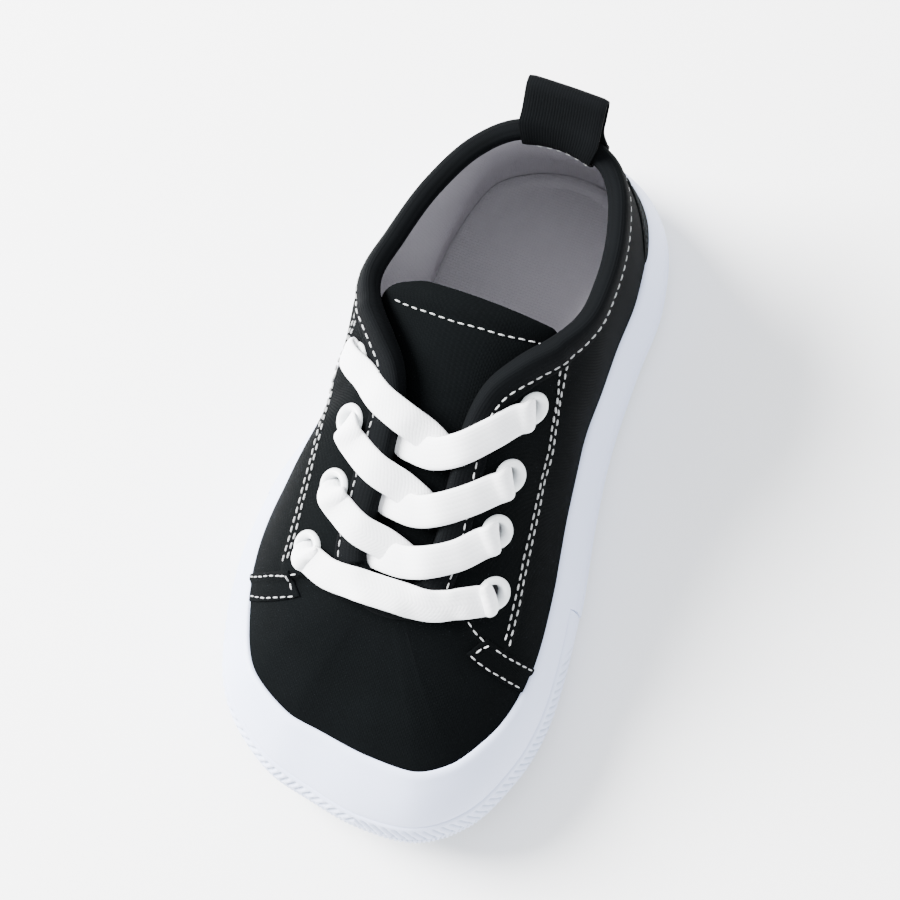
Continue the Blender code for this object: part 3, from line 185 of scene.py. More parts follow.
# slope: how steeply the cloth falls away from the edge, in degrees; reach: how far it keeps that slope.
OPENING_ROWS = list_of(
    OpeningRow,
    ("collar_back", 0.000, 0.8, 12.4, 55.0, 74, 9),
    ("collar_back_outer", 0.035, -8.6, 14.3, 54.6, 74, 9),
    ("collar_corner_outer", 0.070, -15.4, 20.3, 53.6, 74, 9),
    ("collar_rear_outer", 0.110, -20.6, 30.7, 52.6, 72, 10),
    ("collar_side_outer", 0.155, -23.4, 43.0, 52.6, 67, 12),
    ("collar_front_outer", 0.195, -24.3, 53.4, 53.8, 60, 14),
    ("flare_top_outer", 0.225, -20.8, 59.8, 55.4, 54, 15),
    ("flare_outer", 0.245, -16.2, 64.6, 56.0, 48, 16),
    ("flare_foot_outer", 0.262, -12.2, 69.0, 55.6, 37, 15),
    ("throat_top_outer", 0.280, -9.6, 74.8, 53.8, 22, 15),
    ("throat_mid_outer", 0.300, -8.3, 84.0, 50.2, 14, 15),
    ("throat_low_outer", 0.320, -7.5, 95.6, 45.9, 13, 14),
    ("throat_foot_outer", 0.338, -6.8, 103.2, 43.1, 15, 12),
    ("throat_corner_outer", 0.370, -4.6, 107.2, 42.0, 26, 8),
    ("throat_end_outer", 0.430, -1.7, 109.0, 41.7, 36, 8),
    ("throat_end", 0.500, 1.0, 109.5, 41.6, 38, 8),
    ("throat_end_inner", 0.570, 3.7, 109.0, 41.7, 36, 8),
    ("throat_corner_inner", 0.630, 6.2, 107.2, 42.0, 28, 8),
    ("throat_foot_inner", 0.662, 7.8, 103.0, 43.2, 20, 10),
    ("throat_low_inner", 0.680, 7.7, 95.4, 46.0, 19, 12),
    ("throat_mid_inner", 0.700, 6.3, 84.0, 50.2, 20, 12),
    ("throat_top_inner", 0.720, 5.8, 74.6, 53.8, 25, 12),
    ("flare_foot_inner", 0.738, 7.1, 67.0, 55.9, 36, 11),
    ("flare_inner", 0.757, 10.9, 60.6, 56.6, 50, 10),
    ("flare_top_inner", 0.780, 15.9, 54.2, 55.9, 61, 10),
    ("collar_front_inner", 0.808, 19.3, 47.4, 54.4, 71, 9),
    ("collar_side_inner", 0.845, 19.9, 38.2, 53.2, 75, 9),
    ("collar_rear_inner", 0.890, 18.2, 27.2, 52.8, 75, 9),
    ("collar_corner_inner", 0.930, 14.7, 18.6, 53.6, 75, 9),
    ("collar_back_inner", 0.965, 9.8, 14.2, 54.6, 74, 9),
)

SeamRow = namedtuple("SeamRow", "place turn depth")
# How far below the opening's edge the main seam of the upper runs: under the binding along the collar,
# along the outer edge of each eyestay, and round the front of the throat.
SEAM_ROWS = list_of(
    SeamRow,
    ("heel", 0.000, 6.4),
    ("collar_outer", 0.170, 6.4),
    ("collar_front_outer", 0.208, 6.6),
    ("stay_top_outer", 0.2225, 8.6),
    ("stay_bend_outer", 0.2305, 15.0),
    ("stay_upper_outer", 0.242, 21.4),
    ("stay_outer", 0.260, 23.8),
    ("stay_middle_outer", 0.288, 21.2),
    ("stay_low_outer", 0.318, 18.4),
    ("stay_foot_outer", 0.344, 19.1),
    ("vamp_outer", 0.390, 15.0),
    ("vamp", 0.500, 12.0),
    ("vamp_inner", 0.610, 15.0),
    ("stay_foot_inner", 0.664, 22.8),
    ("stay_low_inner", 0.697, 24.1),
    ("stay_inner", 0.729, 25.6),
    ("stay_upper_inner", 0.749, 23.7),
    ("stay_bend_inner", 0.762, 18.2),
    ("stay_top_inner", 0.7765, 8.2),
    ("collar_inner", 0.800, 6.4),
)

TongueRow = namedtuple("TongueRow", "place run x height half_width outer_drop inner_drop")
# outer_drop, inner_drop: how far the tongue's sides hang below its middle.
TONGUE_ROWS = list_of(
    TongueRow,
    ("sewn_end", 120.0, 1.6, 33.0, 12.5, 3.6, 3.6),
    ("under_throat_end", 113.0, 1.3, 35.0, 13.6, 4.4, 4.4),
    ("throat_end", 108.5, 1.0, 37.2, 14.4, 5.2, 5.2),
    ("first_row", 103.0, 0.6, 40.2, 15.2, 5.8, 5.8),
    ("second_row", 92.0, 0.0, 44.8, 15.6, 6.2, 6.2),
    ("third_row", 81.0, -0.6, 48.8, 15.2, 6.4, 6.4),
    ("fourth_row", 70.0, -1.5, 52.2, 15.6, 6.3, 6.4),
    ("above_throat", 62.0, -2.7, 54.8, 17.2, 5.7, 6.2),
    ("top_shoulder", 56.0, -2.7, 57.0, 18.4, 4.4, 6.0),
    ("top_corner", 52.9, -1.9, 58.0, 17.0, 3.5, 4.8),
    ("top_edge", 50.9, -0.4, 58.6, 14.0, 2.2, 3.0),
)

LoopPoint = namedtuple("LoopPoint", "run height spread")

EyeletRow = namedtuple("EyeletRow", "place outer_x outer_run inner_x inner_run")
EYELET_ROWS = list_of(
    EyeletRow,
    ("1", -17.4, 106.2, 19.8, 101.4),
    ("2", -16.0, 93.5, 16.4, 90.5),
    ("3", -17.2, 80.9, 15.1, 79.8),
    ("4", -20.2, 68.8, 14.6, 66.1),
)

LacePoint = namedtuple("LacePoint", "x run lift")
# The route of each lace's middle line seen from above; lift: height of its middle over the cloth beside the
# throat. A crossing's outer lace comes up beside the inner edge, and the inner lace lies over it.
LACE_ROUTES = {
    "lace_bar_1": [
        list_of(
            LacePoint,
            (-17.4, 106.2, 3.6), (-15.6, 108.0, 3.6), (-10.8, 109.4, 3.6), (-4.0, 110.4, 3.4),
            (3.0, 109.9, 3.0), (9.6, 108.2, 3.3), (15.0, 105.4, 3.6), (18.3, 103.3, 3.6),
            (19.8, 101.4, 3.6),
        ),
    ],
    "lace_crossing_2": [
        list_of(
            LacePoint,
            (-16.0, 93.5, 3.6), (-13.2, 96.8, 3.6), (-7.8, 99.6, 3.7), (-2.2, 100.9, 2.1),
            (2.8, 102.6, -0.4),
        ),
        list_of(
            LacePoint,
            (16.4, 90.5, 3.6), (14.4, 93.6, 3.6), (11.0, 97.6, 3.6), (6.6, 100.9, 4.0),
            (2.0, 102.6, 2.8), (-3.4, 103.1, 0.2),
        ),
    ],
    "lace_crossing_3": [
        list_of(
            LacePoint,
            (-17.2, 80.9, 3.6), (-14.1, 84.8, 3.6), (-8.6, 87.9, 3.7), (-2.8, 89.7, 2.1),
            (2.4, 91.8, -0.4),
        ),
        list_of(
            LacePoint,
            (15.1, 79.8, 3.6), (13.0, 83.3, 3.6), (9.6, 87.2, 3.6), (5.6, 90.9, 3.9), (1.2, 92.9, 2.6),
            (-4.4, 93.1, -0.2),
        ),
    ],
    "lace_crossing_4": [
        list_of(
            LacePoint,
            (-20.2, 68.8, 3.6), (-16.4, 71.8, 3.6), (-11.8, 75.2, 3.6), (-6.8, 77.3, 3.5),
            (-1.8, 79.0, 1.8), (2.4, 81.2, -0.4),
        ),
        list_of(
            LacePoint,
            (14.6, 66.1, 3.6), (12.2, 69.6, 3.6), (9.2, 74.2, 3.6), (5.4, 79.0, 3.9), (0.8, 81.7, 2.6),
            (-4.4, 82.0, -0.2),
        ),
    ],
}


def curve_between(share, start, end, start_rate, end_rate):
    """A smooth curve from start to end; its rates there are counted over the whole piece."""
    return (
        (1 + 2 * share) * (1 - share) ** 2 * start
        + share * (1 - share) ** 2 * start_rate
        + share * share * (3 - 2 * share) * end
        + share * share * (share - 1) * end_rate
    )


class RoundTable:
    """Rows placed round the shoe by their turn: between them every column follows a smooth closed curve."""

    def __init__(self, rows):
        self.rows = sorted(rows, key=lambda row: row.turn)
        self.turns = [row.turn for row in self.rows]

    def knot(self, index, column):
        lap, place = divmod(index, len(self.rows))
        return self.turns[place] + lap, getattr(self.rows[place], column)

    def at(self, turn, column):
        turn %= 1.0
        after = bisect_right(self.turns, turn)
        (t0, v0), (t1, v1), (t2, v2), (t3, v3) = (
            self.knot(after + k, column) for k in (-2, -1, 0, 1)
        )
        before, across, beyond = t1 - t0, t2 - t1, t3 - t2
        rate_1 = (v1 - v0) / before * across + (v2 - v1) / across * before
        rate_2 = (v2 - v1) / across * beyond + (v3 - v2) / beyond * across
        return curve_between(
            (turn - t1) / across,
            v1,
            v2,
            rate_1 / (before + across) * across,
            rate_2 / (across + beyond) * across,
        )


Side = namedtuple("Side", "turn x run lean rim top wall")


def both_sides(rows):
    """One row for the outer and one for the inner side, from rows that hold both."""
    sides = []
    for row in rows:
        shared = (row.rim, row.top, row.wall)
        sides.append(Side(row.turn, row.outer_x, row.outer_run, row.outer_lean, *shared))
        if 0.0 < row.turn < 0.5:
            sides.append(Side(1.0 - row.turn, row.inner_x, row.inner_run, row.inner_lean, *shared))
    return sides


SOLE = RoundTable(both_sides(SOLE_ROWS))
OPENING = RoundTable(OPENING_ROWS)
SEAM = RoundTable(SEAM_ROWS)


def bezier(points, s):
    a, b, c, d = points
    return (
        a * (1 - s) ** 3
        + b * 3 * s * (1 - s) ** 2
        + c * 3 * s * s * (1 - s)
        + d * s**3
    )


def bezier_slope(points, s):
    a, b, c, d = points
    return (
        (b - a) * 3 * (1 - s) ** 2 + (c - b) * 6 * s * (1 - s) + (d - c) * 3 * s * s
    )


def outward(table, turn):
    """The direction in plan (x, run) that points away from the inside of a table's closed curve."""
    along_x = table.at(turn + TURN_STEP, "x") - table.at(turn - TURN_STEP, "x")
    along_run = table.at(turn + TURN_STEP, "run") - table.at(turn - TURN_STEP, "run")
    return Vector((-along_run, along_x)).normalized()


def world(x, run, height):
    return Vector((x - MIDDLE_X, MIDDLE_RUN - run, height)) * MM


def rise(run):
    """Height of the tread's edge above the floor, and its slope, at a run."""
    forward = max(0.0, (run - SPRING_RUN) / SPRING_LENGTH)
    height = SPRING_RISE * forward**SPRING_POWER
    slope = SPRING_RISE * SPRING_POWER / SPRING_LENGTH * forward ** (SPRING_POWER - 1)
    return height, slope


def sprung(x, run, height):
    """A point of the flat sole after the toe is bent up: what stands on the tread leans back with it."""
    lift, slope = rise(run)
    upright = 1 / math.hypot(1, slope)
    return world(x, run - height * slope * upright, lift + height * upright)


def plan(turn, inset):
    side = outward(SOLE, turn)
    return Vector((SOLE.at(turn, "x"), SOLE.at(turn, "run"))) - side * inset


def sole_point(turn, inset, height):
    x, run = plan(turn, inset)
    return sprung(x, run, height)


def side_inset(turn, height):
    """How far in from the outline the sole's side stands at a height above the tread."""
    if height < NOSE_HEIGHT:
        return TUCK * ((NOSE_HEIGHT - height) / NOSE_HEIGHT) ** 2
    crest = SOLE.at(turn, "rim") - LIP
    climb = (height - NOSE_HEIGHT) / (SOLE.at(turn, "top") - NOSE_HEIGHT)
    return crest * climb**SHOULDER_POWER


def cavity(turn):
    """The last's side inside the cup, from the wall's top to the floor, as (inset, height) handles."""
    rim, top = SOLE.at(turn, "rim"), SOLE.at(turn, "top")
    wall = SOLE.at(turn, "wall")
    lean = math.radians(SOLE.at(turn, "lean"))
    return (
        Vector((rim, top)),
        Vector((rim - CUP_HANDLE * math.sin(lean), top - CUP_HANDLE * math.cos(lean))),
        Vector((wall, FLOOR_HEIGHT + FLOOR_HANDLE)),
        Vector((wall + FLOOR_TURN_IN, FLOOR_HEIGHT + GAP)),
    )


def cavity_point(turn, s, out=0.0, drop=0.0):
    """A point of the last's side, moved out from it into the cup's wall, and down."""
    handles = cavity(turn)
    along = bezier_slope(handles, s).normalized()
    inset, height = bezier(handles, s) + Vector((along.y, -along.x)) * out
    return sole_point(turn, inset, height - drop)


def upper_handles(turn):
    """The upper's side from the cup's edge to the opening, as four handles in metres."""
    rim, top = SOLE.at(turn, "rim"), SOLE.at(turn, "top")
    lean = math.radians(SOLE.at(turn, "lean"))
    edge = world(*(OPENING.at(turn, column) for column in ("x", "run", "height")))
    slope = math.radians(OPENING.at(turn, "slope"))
    away = outward(OPENING, turn)
    fall = Vector(
        (away.x * math.cos(slope), -away.y * math.cos(slope), -math.sin(slope))
    )
    return (
        sole_point(turn, rim, top),
        sole_point(turn, rim + SIDE_HANDLE * math.sin(lean), top + SIDE_HANDLE * math.cos(lean)),
        edge + fall * OPENING.at(turn, "reach") * MM,
        edge,
    )


def upper_side(turn, s):
    """s from 0 at the cup's edge to 1 at the opening, and from 0 to -1 inside the cup down to its floor."""
    if s >= 0:
        return bezier(upper_handles(turn), s)
    return cavity_point(turn, -s)


def upper_point(turn, s, out=0.0):
    """A point of the upper's outer surface, moved out by some millimetres along its normal."""
    point = upper_side(turn, s)
    if out == 0.0:
        return point
    low = max(-1.0, s - S_STEP) if s < 0 else max(0.0, s - S_STEP)
    high = min(0.0, s + S_STEP) if s < 0 else min(1.0, s + S_STEP)
    around = upper_side(turn + NORMAL_TURNS, s) - upper_side(turn - NORMAL_TURNS, s)
    up = upper_side(turn, high) - upper_side(turn, low)
    return point + around.cross(up).normalized() * out * MM


def below_edge(turn, depth):
    """The s at a depth in millimetres below the opening's edge, measured down the cloth."""
    handles = upper_handles(turn)
    steps = 40
    left = depth * MM
    last = handles[3]
    for k in range(1, steps + 1):
        point = bezier(handles, 1 - k / steps)
        length = (point - last).length
        if length >= left:
            return 1 - (k - 1 + left / length) / steps
        left -= length
        last = point
    return 0.0


def on_quarter(turn):
    return turn < VAMP_TURN or turn > 1 - VAMP_TURN


def turn_at_run(table, run, low, high):
    """The turn, between two turns of one side, at which a table's curve passes a run."""
    rising = table.at(low, "run") < table.at(high, "run")
    for _ in range(40):
        middle = (low + high) / 2
        if (table.at(middle, "run") < run) == rising:
            low = middle
        else:
            high = middle
    return low


# Turns between which each eyestay and each of the throat's edges is looked for, outer side first.
STAY_SIDES = ((0.26, 0.37), (0.63, 0.74))
THROAT_SIDES = ((0.245, 0.45), (0.55, 0.757))


def place_seen_at(x, run):
    """The turn and s at which the upper's outer surface is seen from above at an x and a run."""
    turn = turn_at_run(OPENING, run, *STAY_SIDES[x > 0])
    s = 0.7
    goal = world(x, run, 0.0).xy
    for _ in range(12):
        here = upper_side(turn, s).xy
        by_turn = (upper_side(turn + TURN_STEP, s).xy - here) / TURN_STEP
        by_s = (here - upper_side(turn, s - TURN_STEP).xy) / TURN_STEP
        miss = goal - here
        scale = by_turn.x * by_s.y - by_turn.y * by_s.x
        turn += (miss.x * by_s.y - miss.y * by_s.x) / scale
        s += (by_turn.x * miss.y - by_turn.y * miss.x) / scale
        s = min(max(s, 0.05), 1.0)
    return turn, s


def deck_height(x, run):
    """Height of the cloth the laces lie over: the upper, and a bridge across the throat between its edges."""
    across = min(max(run, THROAT_TOP), THROAT_END - 1.0)
    edges = []
    for ends in THROAT_SIDES:
        turn = turn_at_run(OPENING, across, *ends)
        edges.append((OPENING.at(turn, "x"), OPENING.at(turn, "height")))
    (outer_x, outer_height), (inner_x, inner_height) = edges
    if outer_x < x < inner_x:
        share = (x - outer_x) / (inner_x - outer_x)
        return outer_height + (inner_height - outer_height) * share
    return upper_side(*place_seen_at(x, run)).z / MM


def deck_frame(x, run):
    """The deck's point and its upward direction."""
    step = 1.5
    height = deck_height(x, run)
    by_x = (deck_height(x + step, run) - deck_height(x - step, run)) / (2 * step)
    by_run = (deck_height(x, run + step) - deck_height(x, run - step)) / (2 * step)
    return world(x, run, height), Vector((-by_x, by_run, 1.0)).normalized()


SOLE_SIDES = ((0.01, 0.49), (0.99, 0.51))  # turns from heel to toe along the outer and the inner side
# The bumper ends at the same turn on both sides, so that the sole's ladders of faces stay square.
BUMPER_ENDS = [turn_at_run(SOLE, BUMPER_RUN, *sides) for sides in SOLE_SIDES]
BUMPER_TURN = (BUMPER_ENDS[0] + 1 - BUMPER_ENDS[1]) / 2


def under_bumper(turn):
    return BUMPER_TURN < turn < 1 - BUMPER_TURN


def waist_hollow(run):
    """Hollow under the waist, so that the shoe stands on its heel and its ball."""
    forward = (run - WAIST_START) / (WAIST_END - WAIST_START)
    return WAIST_HOLLOW * math.sin(math.pi * forward) if 0 < forward < 1 else 0.0


def bumper_top(turn):
    """The bumper's upper edge falls from its ends to the toe."""
    forward = (min(turn, 1 - turn) - BUMPER_TURN) / (0.5 - BUMPER_TURN)
    return BUMPER_END_TOP + (BUMPER_TOE_TOP - BUMPER_END_TOP) * forward


def tongue_at(run, column):
    """A tongue column at a run: the rows lie from the sewn end, at the largest run, to the top edge."""
    rows = TONGUE_ROWS
    place = max(1, min(len(rows) - 1, sum(1 for row in rows if row.run >= run)))
    behind, ahead = rows[place - 1], rows[place]
    share = (behind.run - run) / (behind.run - ahead.run)
    rates = []
    for index in (place - 1, place):
        first, last = rows[max(0, index - 1)], rows[min(len(rows) - 1, index + 1)]
        rate = (getattr(last, column) - getattr(first, column)) / (first.run - last.run)
        rates.append(rate * (behind.run - ahead.run))
    return curve_between(share, getattr(behind, column), getattr(ahead, column), *rates)


def tongue_point(run, across):
    """A point of the tongue's upper face; across goes from -1 at its outer to 1 at its inner side."""
    x = tongue_at(run, "x") + tongue_at(run, "half_width") * across
    drop = tongue_at(run, "outer_drop" if across < 0 else "inner_drop")
    return world(x, run, tongue_at(run, "height") - drop * across * across)


def tongue_up(run, across):
    """The direction in which the tongue's upper face looks."""
    behind, ahead = min(run + 0.5, TONGUE_ENDS[0]), max(run - 0.5, TONGUE_ENDS[1])
    along = tongue_point(ahead, across) - tongue_point(behind, across)
    side = tongue_point(run, across + S_STEP) - tongue_point(run, across - S_STEP)
    return side.cross(along).normalized()


def eyelet_places():
    """Name, turn and s of each eyelet."""
    for row in EYELET_ROWS:
        yield "eyelet_outer_" + row.place, *place_seen_at(row.outer_x, row.outer_run)
        yield "eyelet_inner_" + row.place, *place_seen_at(row.inner_x, row.inner_run)


# ---------------------------------------------------------------- the cloth over the last

CLOTH_TURNS = 216  # columns of faces round the upper
STEP_WIDTH = 0.7  # width over which a sewn-on layer rises
ROUND_LENGTH = 320.0  # of the cloth round the shoe, by which its coordinates are counted
LAYER_EDGE = 0.0009  # half the turns over which the quarters' front edge rises
STAY_EDGE = 0.004  # and the eyestays' upper end

Crease = namedtuple("Crease", "place x run angle length width depth")
# Soft troughs, and ridges where the depth is negative, as left by the last and by handling.
CREASES = list_of(
    Crease,
    ("flex_outer", -14.0, 118.0, 78, 13.0, 2.6, 0.35),
    ("flex_inner", 19.0, 117.0, 100, 12.0, 2.4, 0.3),
    ("flex_middle", 3.0, 121.0, 92, 16.0, 3.4, 0.22),
    ("toe_outer", -17.0, 128.0, 55, 12.0, 4.0, 0.25),
    ("toe_inner", 23.0, 131.0, 120, 11.0, 3.6, 0.22),
    ("toe_crown", 7.0, 133.0, 88, 18.0, 6.0, -0.25),
    ("waist_outer", -26.0, 62.0, 12, 14.0, 3.4, 0.4),
    ("waist_outer_ridge", -25.0, 70.0, 14, 12.0, 3.0, -0.28),
    ("waist_inner", 25.5, 60.0, -14, 14.0, 3.2, 0.35),
    ("waist_inner_ridge", 25.0, 51.0, -10, 12.0, 3.0, -0.25),
    ("heel_outer", -22.0, 27.0, 20, 10.0, 2.8, 0.3),
    ("heel_inner", 23.0, 27.0, -20, 10.0, 2.8, 0.28),
)


def smooth_step(low, high, value):
    share = min(1.0, max(0.0, (value - low) / (high - low)))
    return share * share * (3 - 2 * share)


def bell(distance, width):
    return math.exp(-((distance / width) ** 2))


@lru_cache(maxsize=None)
def depth_to_s(turn, depth):
    return below_edge(turn, depth)


@lru_cache(maxsize=None)
def side_length(turn):
    """Length of the cloth from the opening's edge down to the cup, in mm."""
    steps = 24
    points = [upper_side(turn, k / steps) for k in range(steps + 1)]
    return sum((b - a).length for a, b in zip(points, points[1:])) / MM


def crease_out(point):
    """How far the creases move a point of the cloth, in mm, outwards when positive."""
    x = point.x / MM + MIDDLE_X
    run = MIDDLE_RUN - point.y / MM
    out = 0.0
    for crease in CREASES:
        angle = math.radians(crease.angle)
        along = (x - crease.x) * math.sin(angle) + (run - crease.run) * math.cos(angle)
        across = (x - crease.x) * math.cos(angle) - (run - crease.run) * math.sin(angle)
        out -= crease.depth * bell(across, crease.width) * bell(along, crease.length / 2)
    return out * sizes().crease_depth


SLANT_REACH = 0.02  # turns on each side over which the mesh follows the quarters' slanting edges

VampEdge = namedtuple("VampEdge", "s outer inner")
# Turns of the quarters' front edges, counted from the heel.
VAMP_EDGES = (VampEdge(0.0, 0.347, 0.34), VampEdge(0.48, 0.3512, 0.3487), VampEdge(1.0, 0.3514, 0.3474))


def vamp_turn(turn, s):
    """The turn of the quarter's front edge at a height, on the side that a turn lies on."""
    low, high = VAMP_EDGES[:2] if s < VAMP_EDGES[1].s else VAMP_EDGES[1:]
    share = max(0.0, (s - low.s) / (high.s - low.s))
    column = 1 if turn < 0.5 else 2
    return low[column] + (high[column] - low[column]) * share


def beside_vamp(turn, s):
    """Leads a mesh's columns along the quarters' slanting front edges."""
    shift = (vamp_turn(turn, s) - VAMP_TURN) * bell(min(turn, 1 - turn) - VAMP_TURN, SLANT_REACH)
    return turn + shift if turn < 0.5 else turn - shift


def layers_out(turn, s):
    """Thickness of the layers sewn on the plain cloth at a place, each with a soft edge."""
    turn %= 1.0
    side = min(turn, 1 - turn)
    per_mm = 1 / side_length(round(turn, 5))
    edge = vamp_turn(turn, s)
    quarter = 1 - smooth_step(edge - LAYER_EDGE, edge + LAYER_EDGE, side)
    seam = depth_to_s(round(turn, 5), SEAM.at(turn, "depth"))
    stay = smooth_step(seam - STEP_WIDTH * per_mm, seam, s)
    stay *= smooth_step(STAY_START - STAY_EDGE, STAY_START + STAY_EDGE, side)
    return LAYER * quarter + STAY_LAYER * stay * quarter


def cloth_point(turn, s, lift=0.0):
    """A point of the outermost cloth, raised by some mm."""
    if s < 0:
        return upper_point(turn, s, lift)
    base = upper_side(turn, s)
    return upper_point(turn, s, layers_out(turn, s) + crease_out(base) + lift)


def cloth_frame(turn, s, lift=0.0):
    """Point and outward direction at a place on the cloth."""
    step = 0.0015
    low, high = max(0.0, s - 0.01), min(1.0, s + 0.01)
    up = cloth_point(turn, high) - cloth_point(turn, low)
    around = cloth_point(turn + step, s) - cloth_point(turn - step, s)
    return cloth_point(turn, s, lift), around.cross(up).normalized()


# ---------------------------------------------------------------- what a user can change


def size(name, description, default, least, **more):
    return FloatProperty(name=name, description=description, default=default, min=least, **more)


def colour(name, description, default):
    look = {"subtype": "COLOR", "size": 3, "min": 0.0, "max": 1.0}
    return FloatVectorProperty(name=name, description=description, default=default, **look)


class ShoeSizes(bpy.types.PropertyGroup):
    """Sizes of the shoe's trim, in millimetres."""

    stitch_pitch: size("Stitch pitch", "From one stitch to the next", 2.05, 0.8)
    stitch_length: size("Stitch length", "Thread seen between two holes", 1.4, 0.4)
    thread_width: size("Thread width", "Thickness of the sewing thread", 0.35, 0.1)
    row_spacing: size("Row spacing", "Between the rows of a double seam", 1.35, 0.5)
    lace_width: size("Lace width", "Width of the flat lace", 6.6, 2.0)
    lace_thickness: size("Lace thickness", "Thickness of the flat lace", 1.7, 0.5)
    weave_pitch: size("Weave pitch", "From one canvas thread to the next", 0.42, 0.1)
    crease_depth: size("Crease depth", "Strength of the cloth's creases", 1.0, 0.0, subtype="FACTOR")
    rib_height: size("Rib height", "Relief of the ribs on the toe bumper", 0.7, 0.0)


class ShoeColours(bpy.types.PropertyGroup):
    """Colours of the shoe's materials."""

    canvas: colour("Canvas", "Cloth of the upper and the tongue", (0.0012, 0.0016, 0.0018))
    tape: colour("Tape", "Collar binding and pull loop", (0.0014, 0.0018, 0.0022))
    lining: colour("Lining", "Cloth inside the shoe", (0.37, 0.36, 0.39))
    rubber: colour("Rubber", "Cup sole and toe bumper", (0.6, 0.66, 0.86))
    tread: colour("Tread", "Underside of the outsole", (0.42, 0.5, 0.57))
    lace: colour("Lace", "Cotton of the laces", (0.9, 0.91, 0.93))
    enamel: colour("Enamel", "Eyelet rings", (0.78, 0.81, 0.82))
    thread: colour("Thread", "Sewing thread of the seams", (0.46, 0.47, 0.47))


def sizes():
    return bpy.context.scene.shoe_sizes


def colours():
    return bpy.context.scene.shoe_colours


# ---------------------------------------------------------------- shader maths


class Wire:
    """A shader socket that can stand in sums: each operator adds one Math node."""

    def __init__(self, finish, socket):
        self.finish = finish
        self.socket = socket

    def maths(self, operation, *values):
        return self.finish.add("ShaderNodeMath", {"operation": operation}, dict(enumerate(values)))

    def __add__(self, other):
        return self.maths("ADD", self, other)

    def __sub__(self, other):
        return self.maths("SUBTRACT", self, other)

    def __rsub__(self, other):
        return self.maths("SUBTRACT", other, self)

    def __mul__(self, other):
        return self.maths("MULTIPLY", self, other)

    def __truediv__(self, other):
        return self.maths("DIVIDE", self, other)

    def __rtruediv__(self, other):
        return self.maths("DIVIDE", other, self)

    __radd__ = __add__
    __rmul__ = __mul__

    def sine(self):
        return self.maths("SINE", self)

    def size(self):
        return self.maths("ABSOLUTE", self)

    def over(self, limit):
        return self.maths("GREATER_THAN", self, limit)

    def wave(self, pitch):
        """From -1 to 1, passing 0 once in each pitch."""
        return (self * (math.pi / pitch)).sine()

    def ramp(self, low, high):
        """0 below low, 1 above high and smooth between."""
        settings = {"interpolation_type": "SMOOTHSTEP"}
        return self.finish.add(
            "ShaderNodeMapRange", settings, {"Value": self, "From Min": low, "From Max": high}
        )


class Finish:
    """A material on one Principled shader, put together node by node."""

    def __init__(self, name, **constants):
        self.material = bpy.data.materials.new(name)
        self.material.use_nodes = True
        self.tree = self.material.node_tree
        self.shader = self.tree.nodes["Principled BSDF"]
        for socket, value in constants.items():
            self.shader.inputs[socket.replace("_", " ")].default_value = value

    def add(self, kind, settings=None, sockets=None, output=0):
        """One node: its settings first, then a value or a Wire for each socket."""
        node = self.tree.nodes.new(kind)
        for name, value in (settings or {}).items():
            setattr(node, name, value)
        by_name = {socket.identifier: socket for socket in node.inputs}
        for name, value in (sockets or {}).items():
            socket = node.inputs[name] if isinstance(name, int) else by_name.get(name)
            socket = socket or node.inputs[name]
            if isinstance(value, Wire):
                self.tree.links.new(value.socket, socket)
            else:
                socket.default_value = value
        by_name = {socket.identifier: socket for socket in node.outputs}
        return Wire(self, by_name[output] if isinstance(output, str) else node.outputs[output])

    def mix(self, share, first, second):
        """A colour between two colours."""
        sockets = {"Factor_Float": share, "A_Color": self.full(first), "B_Color": self.full(second)}
        settings = {"data_type": "RGBA", "blend_type": "MIX"}
        return self.add("ShaderNodeMix", settings, sockets, "Result_Color")

    def full(self, colour):
        return colour if isinstance(colour, Wire) else (*colour[:3], 1.0)

    def place(self):
        """The point of the shoe that is shaded, in metres."""
        return self.add("ShaderNodeTexCoord", {}, {}, 3)

    def noise(self, per_mm, detail, roughness):
        """Noise about 0.5 with some features in each mm."""
        sockets = {"Vector": self.place(), "Scale": per_mm / MM, "Detail": detail, "Roughness": roughness}
        return self.add("ShaderNodeTexNoise", {"noise_dimensions": "3D"}, sockets)

    def cloth_place(self):
        """The piece's own cloth coordinates in mm: round the piece, and down it."""
        flat = self.add("ShaderNodeUVMap", {"uv_map": "cloth"})
        across = self.add("ShaderNodeSeparateXYZ", {}, {"Vector": flat})
        return across, Wire(self, across.socket.node.outputs[1])

    def relief(self, height, depth):
        """Bumps the surface by a height from 0 to 1, over a depth in mm."""
        sockets = {"Height": height, "Distance": depth * MM, "Strength": 1.0}
        self.feed("Normal", self.add("ShaderNodeBump", {}, sockets))

    def feed(self, socket, wire):
        self.tree.links.new(wire.socket, self.shader.inputs[socket])

    def weave(self, pitch):
        """Height of a plain weave, and which of its two threads lies on top."""
        across, down = self.cloth_place()
        warp, weft = across.wave(pitch), down.wave(pitch)
        on_top = (warp * weft).over(0.0)
        return warp.size() * on_top + weft.size() * (1 - on_top), on_top


def lighter(colour, factor):
    return tuple(min(1.0, part * factor) for part in colour[:3])


